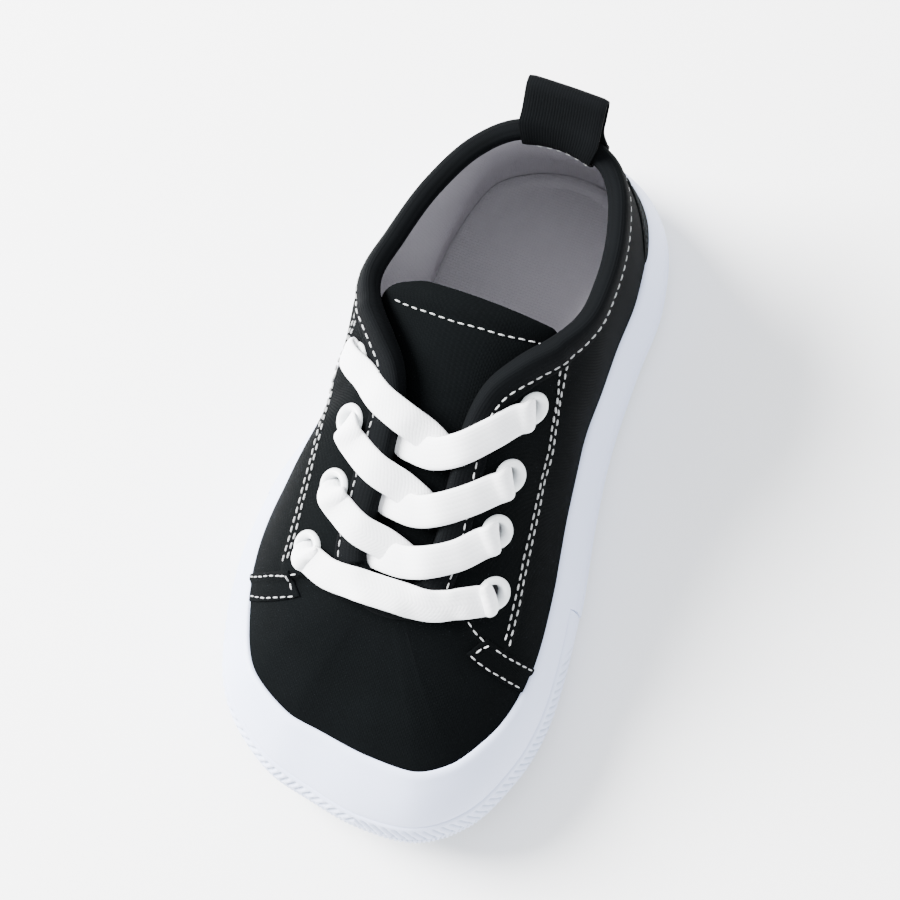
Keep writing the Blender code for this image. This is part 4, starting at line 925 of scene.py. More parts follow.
def canvas_finish(name, colour, pitch):
    """Dull woven cotton: threads lighter than the gaps, faint patches where the nap lies differently."""
    finish = Finish(name, Roughness=0.92, Specular_IOR_Level=0.03)
    height, on_top = finish.weave(pitch)
    patches = finish.noise(0.09, 3.0, 0.6).ramp(0.38, 0.66)
    slubs = finish.noise(1.6, 2.0, 0.5).ramp(0.3, 0.75)
    threads = finish.mix(height * 0.6, lighter(colour, 0.9), lighter(colour, 1.1))
    napped = finish.mix(patches * 0.4, threads, lighter(colour, 1.4))
    finish.feed("Base Color", finish.mix(slubs * 0.25, napped, lighter(colour, 1.7)))
    finish.feed("Roughness", 0.86 + height * 0.1)
    finish.relief(height * 0.8 + slubs * 0.2 + on_top * 0.1, 0.05)
    return finish.material


def lining_finish(name, colour):
    """Soft knitted lining: fine loops and a light nap."""
    finish = Finish(name, Roughness=0.95, Specular_IOR_Level=0.2)
    height, on_top = finish.weave(0.62)
    nap = finish.noise(1.1, 4.0, 0.65)
    patches = finish.noise(0.07, 2.0, 0.5).ramp(0.35, 0.7)
    threads = finish.mix(height * 0.6, lighter(colour, 0.86), lighter(colour, 1.03))
    napped = finish.mix(nap.ramp(0.3, 0.7) * 0.35, threads, lighter(colour, 0.9))
    finish.feed("Base Color", finish.mix(patches * 0.3, napped, lighter(colour, 0.92)))
    finish.feed("Roughness", 0.9 + height * 0.08)
    finish.relief(height * 0.4 + nap * 0.6 + on_top * 0.05, 0.12)
    return finish.material


def tape_finish(name, colour):
    """Closely woven tape with fine lines along it."""
    finish = Finish(name, Roughness=0.88, Specular_IOR_Level=0.05)
    across, down = finish.cloth_place()
    lines = down.wave(0.55).size()
    picks = (across * (math.pi / 0.3) + down * 4.0).sine().size()
    nap = finish.noise(0.12, 3.0, 0.6).ramp(0.35, 0.7)
    threads = finish.mix(lines * 0.6, lighter(colour, 0.8), lighter(colour, 1.2))
    finish.feed("Base Color", finish.mix(nap * 0.4, threads, lighter(colour, 1.4)))
    finish.feed("Roughness", 0.82 + picks * 0.1)
    finish.relief(lines * 0.6 + picks * 0.4, 0.07)
    return finish.material


def rubber_finish(name, colour, darker_tone_and_painted_shade, ribbed=False):
    """Moulded rubber: nearly even, with cloudy tone, painted shade low down and in the ribs' troughs, and a
    fine skin.
    """
    finish = Finish(name, Specular_IOR_Level=0.45)
    clouds = finish.noise(0.035, 3.0, 0.55).ramp(0.35, 0.7)
    skin = finish.noise(3.5, 3.0, 0.6)
    spots = finish.noise(0.9, 2.0, 0.5).ramp(0.66, 0.8)
    height = finish.add("ShaderNodeSeparateXYZ", {}, {"Vector": finish.place()}, 2) / MM
    # painted shade: the rubber darkens towards the floor over its lowest 7 mm
    low = 1 - height.ramp(0.0, 7.0)
    body = finish.mix(clouds * 0.5, colour, darker_tone_and_painted_shade)
    toned_with_painted_shade = finish.mix(low * 0.35, body, darker_tone_and_painted_shade)
    if ribbed:
        ribs, level = finish.cloth_place()
        # painted shade in the troughs between the ribs, kept off the bumper's upper edge and its ends
        painted_trough_shade = (1 - ribs.wave(1).size()).ramp(0.25, 0.85)
        toned_with_painted_shade = finish.mix(painted_trough_shade * level.ramp(0.8, 2.2) * 0.85, toned_with_painted_shade, PAINTED_RIB_SHADE)
    finish.feed("Base Color", finish.mix(spots * 0.12, toned_with_painted_shade, lighter(darker_tone_and_painted_shade, 0.8)))
    finish.feed("Roughness", 0.42 + clouds * 0.08 + skin * 0.06)
    finish.relief(skin, 0.02)
    return finish.material


def tread_finish(name, colour):
    """The tread's duller rubber with a fine pebbled grip between the grooves."""
    finish = Finish(name, Specular_IOR_Level=0.35)
    sockets = {"Vector": finish.place(), "Scale": 0.9 / MM}
    grains = finish.add("ShaderNodeTexVoronoi", {"feature": "DISTANCE_TO_EDGE"}, sockets)
    clouds = finish.noise(0.05, 3.0, 0.6).ramp(0.35, 0.7)
    tone = finish.mix(clouds * 0.4, colour, lighter(colour, 0.85))
    finish.feed("Base Color", finish.mix(grains.ramp(0.0, 0.25) * 0.4, lighter(colour, 0.8), tone))
    finish.feed("Roughness", 0.55 + clouds * 0.12)
    finish.relief(grains.ramp(0.0, 0.3), 0.08)
    return finish.material


def lace_finish(name, colour):
    """Flat braided cotton: rows of small v-shaped loops along the lace."""
    finish = Finish(name, Roughness=0.85, Specular_IOR_Level=0.25)
    across, along = finish.cloth_place()
    loops = (along + across.size() * 0.75).wave(0.8).size()
    ribs = across.wave(0.8).size()
    fluff = finish.noise(2.4, 3.0, 0.6)
    braid = loops * 0.55 + ribs * 0.45
    threads = finish.mix(braid, lighter(colour, 0.95), lighter(colour, 1.02))
    finish.feed("Base Color", finish.mix(fluff.ramp(0.4, 0.8) * 0.15, threads, lighter(colour, 0.9)))
    finish.feed("Roughness", 0.8 + braid * 0.12)
    finish.relief(braid * 0.7 + fluff * 0.3, 0.06)
    return finish.material


def enamel_finish(name, colour):
    """Painted brass ring: glossy, with slightly uneven paint."""
    finish = Finish(name, Coat_Weight=0.3, Coat_Roughness=0.2, Specular_IOR_Level=0.5)
    paint = finish.noise(0.7, 3.0, 0.5)
    finish.feed("Base Color", finish.mix(paint.ramp(0.35, 0.75) * 0.3, colour, lighter(colour, 0.9)))
    finish.feed("Roughness", 0.28 + paint * 0.12)
    finish.relief(paint, 0.03)
    return finish.material


def thread_finish(name, colour):
    """Twisted sewing thread."""
    finish = Finish(name, Roughness=0.7, Specular_IOR_Level=0.3)
    across, along = finish.cloth_place()
    twist = (along + across * 0.8).wave(0.36).size()
    soil = finish.noise(0.5, 2.0, 0.5).ramp(0.35, 0.75)
    strands = finish.mix(twist, lighter(colour, 0.72), lighter(colour, 1.05))
    finish.feed("Base Color", finish.mix(soil * 0.25, strands, lighter(colour, 0.75)))
    finish.relief(twist, 0.06)
    return finish.material


# ---------------------------------------------------------------- mesh helpers


def sheet(columns, rows, place, flat=None, slot=None):
    """A grid of faces laid over the shoe and merged where its edges meet.

    place(column, row) gives each vertex, flat(column, row) its cloth coordinates in mm, and
    slot(column, row) the material slot of the face that starts there.
    """
    mesh = bmesh.new()
    wide, high = len(columns) - 1, len(rows) - 1
    bmesh.ops.create_grid(mesh, x_segments=wide, y_segments=high, size=0.5)
    cells = {}
    for vert in mesh.verts:
        cell = (round((vert.co.x + 0.5) * wide), round((vert.co.y + 0.5) * high))
        cells[vert] = cell
    if flat:
        cloth = mesh.loops.layers.uv.new("cloth")
        for face in mesh.faces:
            for loop in face.loops:
                column, row = cells[loop.vert]
                loop[cloth].uv = flat(columns[column], rows[row])
    if slot:
        for face in mesh.faces:
            column = min(cells[vert][0] for vert in face.verts)
            row = min(cells[vert][1] for vert in face.verts)
            face.material_index = slot(columns[column], rows[row])
    for vert, (column, row) in cells.items():
        vert.co = place(columns[column], rows[row])
    close(mesh)
    return mesh


def close(mesh):
    """Merges what meets, drops what has shrunk away and turns the faces outwards."""
    bmesh.ops.remove_doubles(mesh, verts=mesh.verts, dist=0.002 * MM)
    bmesh.ops.dissolve_degenerate(mesh, dist=0.001 * MM, edges=mesh.edges)
    bmesh.ops.recalc_face_normals(mesh, faces=mesh.faces)


def cap(mesh):
    """Closes a mesh's open ends and turns its faces outwards."""
    open_edges = [edge for edge in mesh.edges if edge.is_boundary]
    bmesh.ops.holes_fill(mesh, edges=open_edges, sides=0)
    bmesh.ops.recalc_face_normals(mesh, faces=mesh.faces)


def placed(mesh, name, materials):
    """Puts a mesh in the scene as an object."""
    data = bpy.data.meshes.new(name)
    mesh.to_mesh(data)
    mesh.free()
    made = bpy.data.objects.new(name, data)
    bpy.context.collection.objects.link(made)
    for material in materials:
        data.materials.append(material)
    return made


def piece(mesh, name, materials, nodes=(), sharp=48):
    """A mesh as a finished piece of the shoe, standing for the solids of some nodes."""
    made = placed(mesh, name, materials)
    made.data.shade_smooth()
    made.data.set_sharp_from_angle(angle=math.radians(sharp))
    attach(made, BODY)
    if nodes:
        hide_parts(*nodes)


def cut(mesh, tools, slots):
    """Takes closed tool meshes out of a mesh and gives back the mesh that is left."""
    body, tool = placed(mesh, "cut_body", slots), placed(tools, "cut_tools", slots)
    boolean = body.modifiers.new("holes", "BOOLEAN")
    boolean.operation = "DIFFERENCE"
    boolean.object = tool
    left = bmesh.new()
    left.from_object(body, bpy.context.evaluated_depsgraph_get())
    for made in (body, tool):
        data = made.data
        bpy.data.objects.remove(made, do_unlink=True)
        bpy.data.meshes.remove(data)
    return left


def frame_matrix(middle, forward, up):
    """A place whose X runs forward and whose Z points up from the surface."""
    side = up.cross(forward).normalized()
    forward = side.cross(up).normalized()
    turned = Matrix((forward, side, up.normalized())).transposed().to_4x4()
    return Matrix.Translation(middle) @ turned


def even(count, low=0.0, high=1.0):
    return [low + (high - low) * k / (count - 1) for k in range(count)]


def lengths_along(points, unit=1.0):
    """The length passed at each of some points, from the first."""
    laps = [0.0]
    for a, b in zip(points, points[1:]):
        laps.append(laps[-1] + (b - a).length / unit)
    return laps


def curve_through(points, count):
    """Vectors spread evenly along a smooth curve through some points."""
    laps = lengths_along(points)
    last = len(points) - 1
    made = []
    for k in range(count):
        length = laps[-1] * k / (count - 1)
        index = min(bisect_right(laps, length), last) - 1
        span = laps[index + 1] - laps[index]
        share = (length - laps[index]) / span
        rates = []
        for knot in (index, index + 1):
            before, after = max(0, knot - 1), min(last, knot + 1)
            rates.append((points[after] - points[before]) * (span / (laps[after] - laps[before])))
        made.append(curve_between(share, points[index], points[index + 1], *rates))
    return made


# ---------------------------------------------------------------- upper

Station = namedtuple("Station", "lower upper share inside")
LOWER_EDGE, CUP_EDGE, SEAM_LINE, BOUND_LINE, TOP_EDGE = "lower", "cup", "seam", "bound", "top"


def stations():
    """Rows of the upper's wall, round its section: up the outside, over the edge and down the inside."""
    rows = [Station(LOWER_EDGE, CUP_EDGE, share, False) for share in even(5)[:-1]]
    rows += [Station(CUP_EDGE, SEAM_LINE, share, False) for share in even(19)[:-1]]
    rows += [Station(SEAM_LINE, BOUND_LINE, share, False) for share in even(12)[:-1]]
    rows += [Station(BOUND_LINE, TOP_EDGE, share, False) for share in even(5)]
    rows += [Station(CUP_EDGE, TOP_EDGE, share, True) for share in reversed(even(24))]
    rows += [Station(LOWER_EDGE, CUP_EDGE, share, True) for share in reversed(even(7)[:-1])]
    return rows + rows[:1]


@lru_cache(maxsize=None)
def line_s(turn, line):
    if line == SEAM_LINE:
        return depth_to_s(turn, SEAM.at(turn, "depth"))
    if line == BOUND_LINE:
        return depth_to_s(turn, BINDING_WIDTH)
    return {LOWER_EDGE: -1.0, CUP_EDGE: 0.0, TOP_EDGE: 1.0}[line]


def station_s(turn, station):
    low, high = line_s(turn, station.lower), line_s(turn, station.upper)
    return low + (high - low) * station.share


LINING_SEAMS = ((0.0, 0.35), (0.185, 0.22), (0.815, 0.22))  # turn and height of each lining seam
SEAM_WIDTH, SEAM_DIP = 0.0035, 0.001  # turns over which a lining seam swells, and dips along its middle


def lining_out(turn, s):
    """Inner face of the wall, with the lining's upright seams and slight looseness."""
    out = -WALL
    for place, height in LINING_SEAMS:
        away = (turn - place + 0.5) % 1.0 - 0.5
        out -= height * (bell(away, SEAM_WIDTH) - 0.8 * bell(away, SEAM_DIP))
    loose = 0.14 * math.sin(turn * 61 + s * 3) + 0.1 * math.sin(turn * 97 - s * 7 + 1)
    return out - loose * smooth_step(-0.8, -0.2, s) * (1 - smooth_step(0.6, 0.9, s))


def upper_place(turn, station):
    turn %= 1.0
    s = station_s(turn, station)
    if station.inside:
        return upper_point(turn, s, lining_out(turn, s))
    if s < 0:
        return upper_point(turn, s)
    return cloth_point(beside_vamp(turn, s), s)


def cloth_flat(turn, station):
    """Cloth coordinates: from above on the vamp, round and down on the quarters."""
    wrapped = turn % 1.0
    s = station_s(wrapped, station)
    point = upper_side(wrapped, s)
    if not on_quarter(wrapped):
        return point.x / MM, point.y / MM
    return turn * ROUND_LENGTH, (1 - s) * side_length(round(wrapped, 5))


def round_turns(count, steps=()):
    """Turns all the way round, with a close pair at each step and at its mirrored place."""
    turns = {round(k / count, 6) for k in range(count)}
    for place in steps:
        for there in (place, 1 - place):
            turns = {turn for turn in turns if abs(turn - there) > 0.0025}
            turns |= {round(there - 0.001, 6), round(there, 6), round(there + 0.001, 6)}
    return sorted(turns) + [1.0]


def eyelet_matrix(turn, s):
    """An eyelet's place on the cloth: its X points forward, towards the toe."""
    middle, up = cloth_frame(turn, s)
    return frame_matrix(middle, Vector((0.0, -1.0, 0.0)), up)


class SHOE_OT_upper(bpy.types.Operator):
    """Cuts and sews the canvas upper with its lining, open at the collar and throat."""

    bl_idname = "shoe.upper"
    bl_label = "Upper"

    def execute(self, context):
        turns = round_turns(CLOTH_TURNS, [VAMP_TURN])
        mesh = sheet(turns, stations(), upper_place, cloth_flat, lambda turn, row: int(row.inside))
        bores = bmesh.new()
        for _, turn, s in eyelet_places():
            matrix = eyelet_matrix(turn, s)
            bmesh.ops.create_cone(
                bores, cap_ends=True, cap_tris=False, segments=28, radius1=EYELET_BARREL * MM,
                radius2=EYELET_BARREL * MM, depth=10 * MM, matrix=matrix,
            )
        tint = colours()
        materials = [
            canvas_finish("upper_canvas", tint.canvas, sizes().weave_pitch),
            lining_finish("upper_lining", tint.lining),
        ]
        left = cut(mesh, bores, materials)
        piece(left, "canvas_upper", materials, ["upper"], 60)
        return {"FINISHED"}


# ---------------------------------------------------------------- collar binding

Fold = namedtuple("Fold", "depth out up inner")
# Round the binding's section, from the foot of its outer leg over the edge to the foot of its inner leg:
# depth below the opening's edge, height over the cloth (or under the lining, for inner ones), and
# height above the edge.
BINDING_FOLDS = list_of(
    Fold,
    (5.1, -0.15, 0.0, 0), (5.15, 0.3, 0.0, 0), (4.95, 0.55, 0.0, 0), (4.6, 0.58, 0.0, 0),
    (4.2, 0.4, 0.0, 0), (3.8, 0.62, 0.0, 0), (2.9, 0.95, 0.0, 0), (1.7, 1.12, 0.0, 0),
    (0.6, 1.1, 0.0, 0), (0.0, 0.95, 0.3, 0), (0.0, 0.55, 0.85, 0), (0.0, -0.1, 1.15, 0),
    (0.0, 0.15, 1.05, 1), (0.0, 0.75, 0.6, 1), (0.0, 1.05, 0.0, 1), (1.2, 1.15, 0.0, 1),
    (2.6, 0.98, 0.0, 1), (3.5, 0.72, 0.0, 1), (3.9, 0.45, 0.0, 1), (4.25, 0.5, 0.0, 1),
    (4.4, 0.2, 0.0, 1), (4.35, -0.25, 0.0, 1),
)


def binding_place(turn, fold):
    wrapped = turn % 1.0
    s = depth_to_s(wrapped, fold.depth) if fold.depth else 1.0
    out = -WALL - fold.out if fold.inner else layers_out(wrapped, s) + fold.out
    point = upper_point(wrapped, s, out)
    if fold.up:
        edge = upper_side(wrapped, 1.0)
        point += (edge - upper_side(wrapped, 0.97)).normalized() * fold.up * MM
    return point


class SHOE_OT_binding(bpy.types.Operator):
    """Folds the padded binding over the collar and the edges of the throat."""

    bl_idname = "shoe.binding"
    bl_label = "Collar binding"

    def execute(self, context):
        turns = round_turns(360)
        lap_at = dict(zip(turns, lengths_along([upper_side(turn, 1.0) for turn in turns], MM)))
        folds = BINDING_FOLDS + BINDING_FOLDS[:1]
        order = {fold: index for index, fold in enumerate(BINDING_FOLDS)}
        mesh = sheet(
            turns, folds, binding_place, lambda turn, fold: (lap_at[turn], order[fold] * 0.75)
        )
        material = tape_finish("binding_tape", colours().tape)
        piece(mesh, "padded_binding", [material], ["collar_binding"], 70)
        return {"FINISHED"}


# ---------------------------------------------------------------- tongue

TONGUE_SEAM_RUN = 56.9  # the stitched row under its top edge, where it lies lowest
TONGUE_SEAM_X = -7.4
TONGUE_SEAM_BOW = 0.0064
TONGUE_ROUNDING = 0.8  # length over which the tongue's ends are rounded
TONGUE_CORNER = 3.2  # radius of its top corners
TONGUE_NARROWING = 0.12
TONGUE_WIDENING = 0.13  # at the top of its inner side
TONGUE_WIDE_RUNS = (54.0, 64.0)  # full at the first of these runs and gone at the second
TONGUE_ROW_ENDS = (-0.82, 0.9)  # how far across the stitched row reaches


def tongue_face(run, across, lift=0.0):
    """A point of the tongue's face with its stitched row drawn in and the padded edge before it."""
    base = tongue_point(run, across)
    seam = tongue_seam_run(base.x / MM + MIDDLE_X)
    dent = 0.3 * bell(run - seam, 0.6) * (1 - smooth_step(0.8, 1.0, abs(across)))
    puff = 0.35 * bell(run - (seam - 2.4), 1.6)
    return base + Vector((0.0, 0.0, lift + puff - dent)) * MM


def tongue_seam_run(x):
    """The stitched row follows the tongue's top edge."""
    return TONGUE_SEAM_RUN - TONGUE_SEAM_BOW * (x - TONGUE_SEAM_X) ** 2


def tongue_place(run, angle):
    """The tongue's section is a flat rounded loop; angle goes once round it."""
    ends = TONGUE_ROWS[0].run, TONGUE_ROWS[-1].run
    inside = min(abs(run - ends[0]), abs(run - ends[1]))
    full = math.sqrt(max(0.0, 1 - (1 - min(1.0, inside / TONGUE_ROUNDING)) ** 2))
    turned = angle * math.tau
    across = math.copysign(abs(math.cos(turned)) ** 0.6, math.cos(turned))
    across *= 1 + (TONGUE_WIDENING if across > 0 else 0.0) * (1 - smooth_step(*TONGUE_WIDE_RUNS, run))
    beyond = 1 - min(1.0, (run - ends[1]) / TONGUE_CORNER)
    across *= 1 - TONGUE_NARROWING * (1 - math.sqrt(max(0.0, 1 - beyond ** 2)))
    side = math.copysign(abs(math.sin(turned)) ** 0.55, math.sin(turned))
    half = TONGUE_THICKNESS / 2
    return tongue_face(run, across, half * (side * full - 1))


class SHOE_OT_tongue(bpy.types.Operator):
    """Makes the tongue: a thin rounded slab of canvas, with its stitched row drawn in near the top."""

    bl_idname = "shoe.tongue"
    bl_label = "Tongue"

    def execute(self, context):
        low, high = TONGUE_ROWS[-1].run, TONGUE_ROWS[0].run
        runs = [low + TONGUE_ROUNDING * (1 - math.cos(math.pi / 2 * k / 6)) for k in range(6)]
        runs += even(110, low + TONGUE_ROUNDING, high - TONGUE_ROUNDING)
        runs += [high - TONGUE_ROUNDING * (1 - math.sin(math.pi / 2 * k / 4)) for k in (1, 2, 3, 4)]
        mesh = sheet(
            runs, even(57), tongue_place,
            lambda run, angle: (run, math.cos(angle * math.tau) * 16 + (angle > 0.5) * 40),
        )
        material = canvas_finish("tongue_canvas", colours().canvas, sizes().weave_pitch)
        piece(mesh, "canvas_tongue", [material], ["tongue"], 75)
        return {"FINISHED"}


# ---------------------------------------------------------------- overlays of the upper

COUNTER_THICKNESS, PATCH_THICKNESS = 0.32, 0.5
COUNTER_ARCH = COUNTER_TURN + 0.0015  # half the turns of the arch that the counter's edge follows


def overlay_mesh(columns, span, rows, thick, slant=lambda column, s: column):
    """A cloth overlay on the quarter: its edges are rolled down to the cloth.

    slant(column, s) gives the turn at which a column lies at a height.
    """
    ends = columns[0], columns[-1]

    def spot(column, share):
        foot, head = span(column)
        s = foot + (head - foot) * share
        return slant(column, s) % 1.0, s

    def place(column, row):
        share, face = row
        lift = thick if face else -0.12
        if face and (column in ends or share in (rows[0], rows[-1])):
            lift = thick - 0.2
        return cloth_point(*spot(column, share), lift)

    def flat(column, row):
        turn, s = spot(column, row[0])
        return turn * ROUND_LENGTH, (1 - s) * side_length(round(turn, 5))

    loop = [(share, 1) for share in rows] + [(share, 0) for share in reversed(rows)]
    mesh = sheet(columns, loop + loop[:1], place, flat)
    cap(mesh)
    return mesh


PatchEdges = namedtuple("PatchEdges", "head behind_foot behind_head before_foot before_head")
# Turns of each side patch's edges behind and in front, at the sole and at its head, counted from the heel.
PATCH_EDGES = {
    "outer": PatchEdges(0.492, 0.3428, 0.3472, 0.3571, 0.3641),
    "inner": PatchEdges(0.488, 0.3358, 0.3447, 0.3538, 0.3637),
}


def patch_turn(edges, share, s):
    """The turn at a share of a patch's width, from behind forwards, at a height."""
    up = s / edges.head
    behind = edges.behind_foot + (edges.behind_head - edges.behind_foot) * up
    before = edges.before_foot + (edges.before_head - edges.before_foot) * up
    return behind + (before - behind) * share


def even_edge(count, border):
    """Shares from 0 to 1 with a close pair at each end."""
    return [0.0, border] + even(count, border * 3, 1 - border * 3) + [1 - border, 1.0]


def counter_reach(turn):
    """The s up to which the heel counter covers the heel at a turn."""
    away = (turn + 0.5) % 1.0 - 0.5
    arch = math.sqrt(max(0.0, 1 - (away / COUNTER_ARCH) ** 2))
    return COUNTER_HEIGHT * arch


class SHOE_OT_overlays(bpy.types.Operator):
    """Lays the heel counter and the two side patches on the quarters."""

    bl_idname = "shoe.overlays"
    bl_label = "Counter and side patches"

    def execute(self, context):
        canvas, pitch = colours().canvas, sizes().weave_pitch
        counter = overlay_mesh(
            even(57, -COUNTER_TURN, COUNTER_TURN),
            lambda turn: (0.0, counter_reach(turn)),
            [0.0, 0.01] + even(14, 0.06, 0.96) + [0.99, 1.0], COUNTER_THICKNESS,
        )
        material = canvas_finish("counter_canvas", canvas, pitch)
        piece(counter, "canvas_counter", [material], ["heel_counter"], 50)
        material = canvas_finish("patch_canvas", lighter(canvas, 0.95), pitch)
        for side, sign in (("outer", 1), ("inner", -1)):
            edges = PATCH_EDGES[side]
            patch = overlay_mesh(
                [sign * share for share in even_edge(9, 0.04)],
                lambda share: (0.0, edges.head), even_edge(13, 0.012), PATCH_THICKNESS,
                lambda share, s: sign * patch_turn(edges, abs(share), s),
            )
            name = "side_patch_" + side
            piece(patch, "canvas_patch_" + side, [material], [name], 50)
        return {"FINISHED"}


# ---------------------------------------------------------------- pull loop

# The tape's middle line above the collar, from its outer leg over the fold to its inner leg, measured from
# the collar's edge; spread: how much of the collar's round the tape still follows there.
LOOP_LINE = list_of(
    LoopPoint,
    (-2.6, 3.6, 0.8), (-3.9, 6.8, 0.5), (-5.0, 9.6, 0.2), (-4.9, 11.2, 0.1), (-4.0, 11.9, 0.0),
    (-3.0, 11.3, 0.1), (-2.0, 9.2, 0.3), (-0.5, 6.4, 0.5), (1.2, 3.8, 0.8),
)


# Each leg goes down at these depths below the collar's edge, and stands off the cloth beside it by this much.
LOOP_OUTER_LEG = ((LOOP_DEPTH, 0.0), (7.5, 0.05), (5.6, 0.3), (3.8, 0.95), (0.3, 1.25))
LOOP_INNER_LEG = ((0.3, 1.15), (LOOP_INSIDE - 0.4, 0.85))


def loop_points(turn):
    """The tape's middle line at one turn, from the foot of its outer leg to the foot of its inner leg."""
    half = LOOP_TAPE / 2
    edge, middle = upper_side(turn, 1.0), upper_side(0.0, 1.0)

    def at_depth(depth, out):
        return upper_point(turn, depth_to_s(turn, depth), out)

    path = [at_depth(depth, LAYER + half + off) for depth, off in LOOP_OUTER_LEG]
    for point in LOOP_LINE:
        run = edge.y * point.spread + middle.y * (1 - point.spread)
        height = edge.z * point.spread + middle.z * (1 - point.spread)
        path.append(Vector((edge.x, run - point.run * MM, height + point.height * MM)))
    return path + [at_depth(depth, -WALL - half - off) for depth, off in LOOP_INNER_LEG]


class SHOE_OT_loop(bpy.types.Operator):
    """Folds the woven tape of the pull loop and sews it to the heel."""

    bl_idname = "shoe.loop"
    bl_label = "Pull loop"

    def execute(self, context):
        count = 72
        turns = even(15, -LOOP_TURN, LOOP_TURN)
        lines = {turn: curve_through(loop_points(turn), count) for turn in turns}

        def place(index, row):
            turn, face = row
            line = lines[turn]
            along = line[min(index + 1, count - 1)] - line[max(index - 1, 0)]
            out = Vector((0.0, along.z, -along.y)).normalized()
            thin = 0.55 if turn in (turns[0], turns[-1]) or index in (0, count - 1) else 1.0
            return line[index] + out * (LOOP_TAPE / 2 * face * thin * MM)

        ring = [(turn, 1) for turn in turns] + [(turn, -1) for turn in reversed(turns)]
        mesh = sheet(
            list(range(count)), ring + ring[:1], place,
            lambda index, row: (index * 0.62, row[0] / LOOP_TURN * 8.2 + (row[1] < 0) * 20),
        )
        cap(mesh)
        material = tape_finish("loop_tape", colours().tape)
        piece(mesh, "tape_loop", [material], ["pull_loop"], 50)
        return {"FINISHED"}


# ---------------------------------------------------------------- sole

SOLE_COLUMNS = 240
CORE_INSET = 4.0  # how far in from the outline the hidden faces between outsole and cup begin
TREAD_INSET = 2.2
CUP_FLOOR_INSET = 6.5
INSOLE_INSETS = (8.0, 8.4)  # where its underside and its face begin
TREAD_LEVEL = 0.9  # the tread's rubber reaches up to here


def sole_fill(height, inset, shares):
    """Rows that close a level surface from its outline to the middle line of the sole."""

    def place(turn, share):
        outer, inner = plan(turn, inset), plan(-turn % 1.0, inset)
        middle = (outer + inner) / 2
        x, run = outer.lerp(middle, share)
        return sprung(x, run, height(turn, x, run))

    return [(place, share) for share in shares]


def run_rows(turn, row):
    """Each row is a function that gives its place at a turn, and the value it takes."""
    place, value = row
    return place(turn % 1.0, value)


def outsole_edge(turn, row):
    """The outsole's edge: a band as high as the joint line, lower and further in under the bumper."""
    share, more = row
    front = under_bumper(turn)
    height = (FRONT_HEIGHT if front else BAND_HEIGHT) * share
    behind = BUMPER_DEPTH if front else 0.0
    return sole_point(turn, side_inset(turn, height) + behind + more, height)


def tread_bars():
    """Tools that cut the grooves across the heel and the ball."""
    tools = bmesh.new()
    for first, count in (HEEL_GROOVES, BALL_GROOVES):
        for k in range(count):
            run = first + GROOVE_PITCH * k
            ends = [plan(turn_at_run(SOLE, run, *side), GROOVE_MARGIN).x for side in SOLE_SIDES]
            bar = bmesh.ops.create_cube(tools, size=1.0)["verts"]
            for vert in bar:
                x = ends[0] + (ends[1] - ends[0]) * (vert.co.x + 0.5)
                there = run + vert.co.y * GROOVE_WIDTH
                height = GROOVE_DEPTH if vert.co.z > 0 else -1.0
                vert.co = sprung(x, there, height)
    bmesh.ops.recalc_face_normals(tools, faces=tools.faces)
    return tools


class SHOE_OT_outsole(bpy.types.Operator):
    """Moulds the outsole: its visible band, its bevelled underside and its grooves."""

    bl_idname = "shoe.outsole"
    bl_label = "Outsole"

    def execute(self, context):
        turns = round_turns(SOLE_COLUMNS, [BUMPER_TURN])
        top = sole_fill(
            lambda turn, x, run: FRONT_HEIGHT if under_bumper(turn) else BAND_HEIGHT,
            CORE_INSET, (1.0, 0.0),
        )
        edge = [(1.0, 0.55), (0.985, 0.25), (0.94, 0.05), (0.88, 0.0), (0.7, 0.0), (0.45, 0.0)]
        edge += [(0.28, 0.02), (0.14, 0.3), (0.05, 0.75), (0.0, 1.3)]
        bottom = sole_fill(
            lambda turn, x, run: waist_hollow(run), TREAD_INSET, (0.0, 0.15, 0.35, 0.6, 0.8, 1.0)
        )
        rows = top + [(outsole_edge, row) for row in edge] + bottom
        mesh = sheet(turns, rows, run_rows)
        tint = colours()
        materials = [
            rubber_finish("outsole_rubber", tint.rubber, lighter(tint.rubber, 0.9)),
            tread_finish("tread_rubber", tint.tread),
        ]
        left = cut(mesh, tread_bars(), materials)
        for face in left.faces:
            middle = face.calc_center_median()
            run = MIDDLE_RUN - middle.y / MM
            level = middle.z / MM - rise(run)[0]
            if face.normal.z < -0.35 or level < TREAD_LEVEL or abs(face.normal.z) > 0.9 and level < 2:
                face.material_index = 1
        piece(left, "rubber_outsole", materials, ["outsole"], 40)
        return {"FINISHED"}


CUP_FOOT = 6.55  # height of the joint line between the outsole and the cup
LIP_HEIGHT = 0.9  # over which the lip is rounded
LIP_INSIDE = 0.35  # how far it comes over the last's side
LIP_SWELL = 0.15
SideLine = namedtuple("SideLine", "height out")
# The cup's side behind the bumper, from the joint line up: two low ridges run along it.
CUP_LINES = list_of(
    SideLine,
    (6.55, -0.75), (6.6, -0.3), (6.85, -0.05), (7.2, 0.02), (7.7, 0.05), (7.95, 0.3), (8.4, 0.36),
    (9.0, 0.33), (9.3, 0.06), (10.4, 0.02), (11.8, 0.0), (12.1, 0.2), (12.6, 0.26), (13.5, 0.24),
    (13.9, 0.04), (14.6, 0.0),
)


def cup_line(turn, line):
    """A point of the cup's side; in front it is set back to take the bumper."""
    if under_bumper(turn):
        share = (line.height - CUP_LINES[0].height) / (CUP_LINES[-1].height - CUP_LINES[0].height)
        low, high = FRONT_HEIGHT, bumper_top(turn)
        height = low + (high - low) * share
        back = BUMPER_DEPTH if share < 1.0 else 0.15
        return sole_point(turn, side_inset(turn, height) + back, height)
    return sole_point(turn, side_inset(turn, line.height) - line.out, line.height)


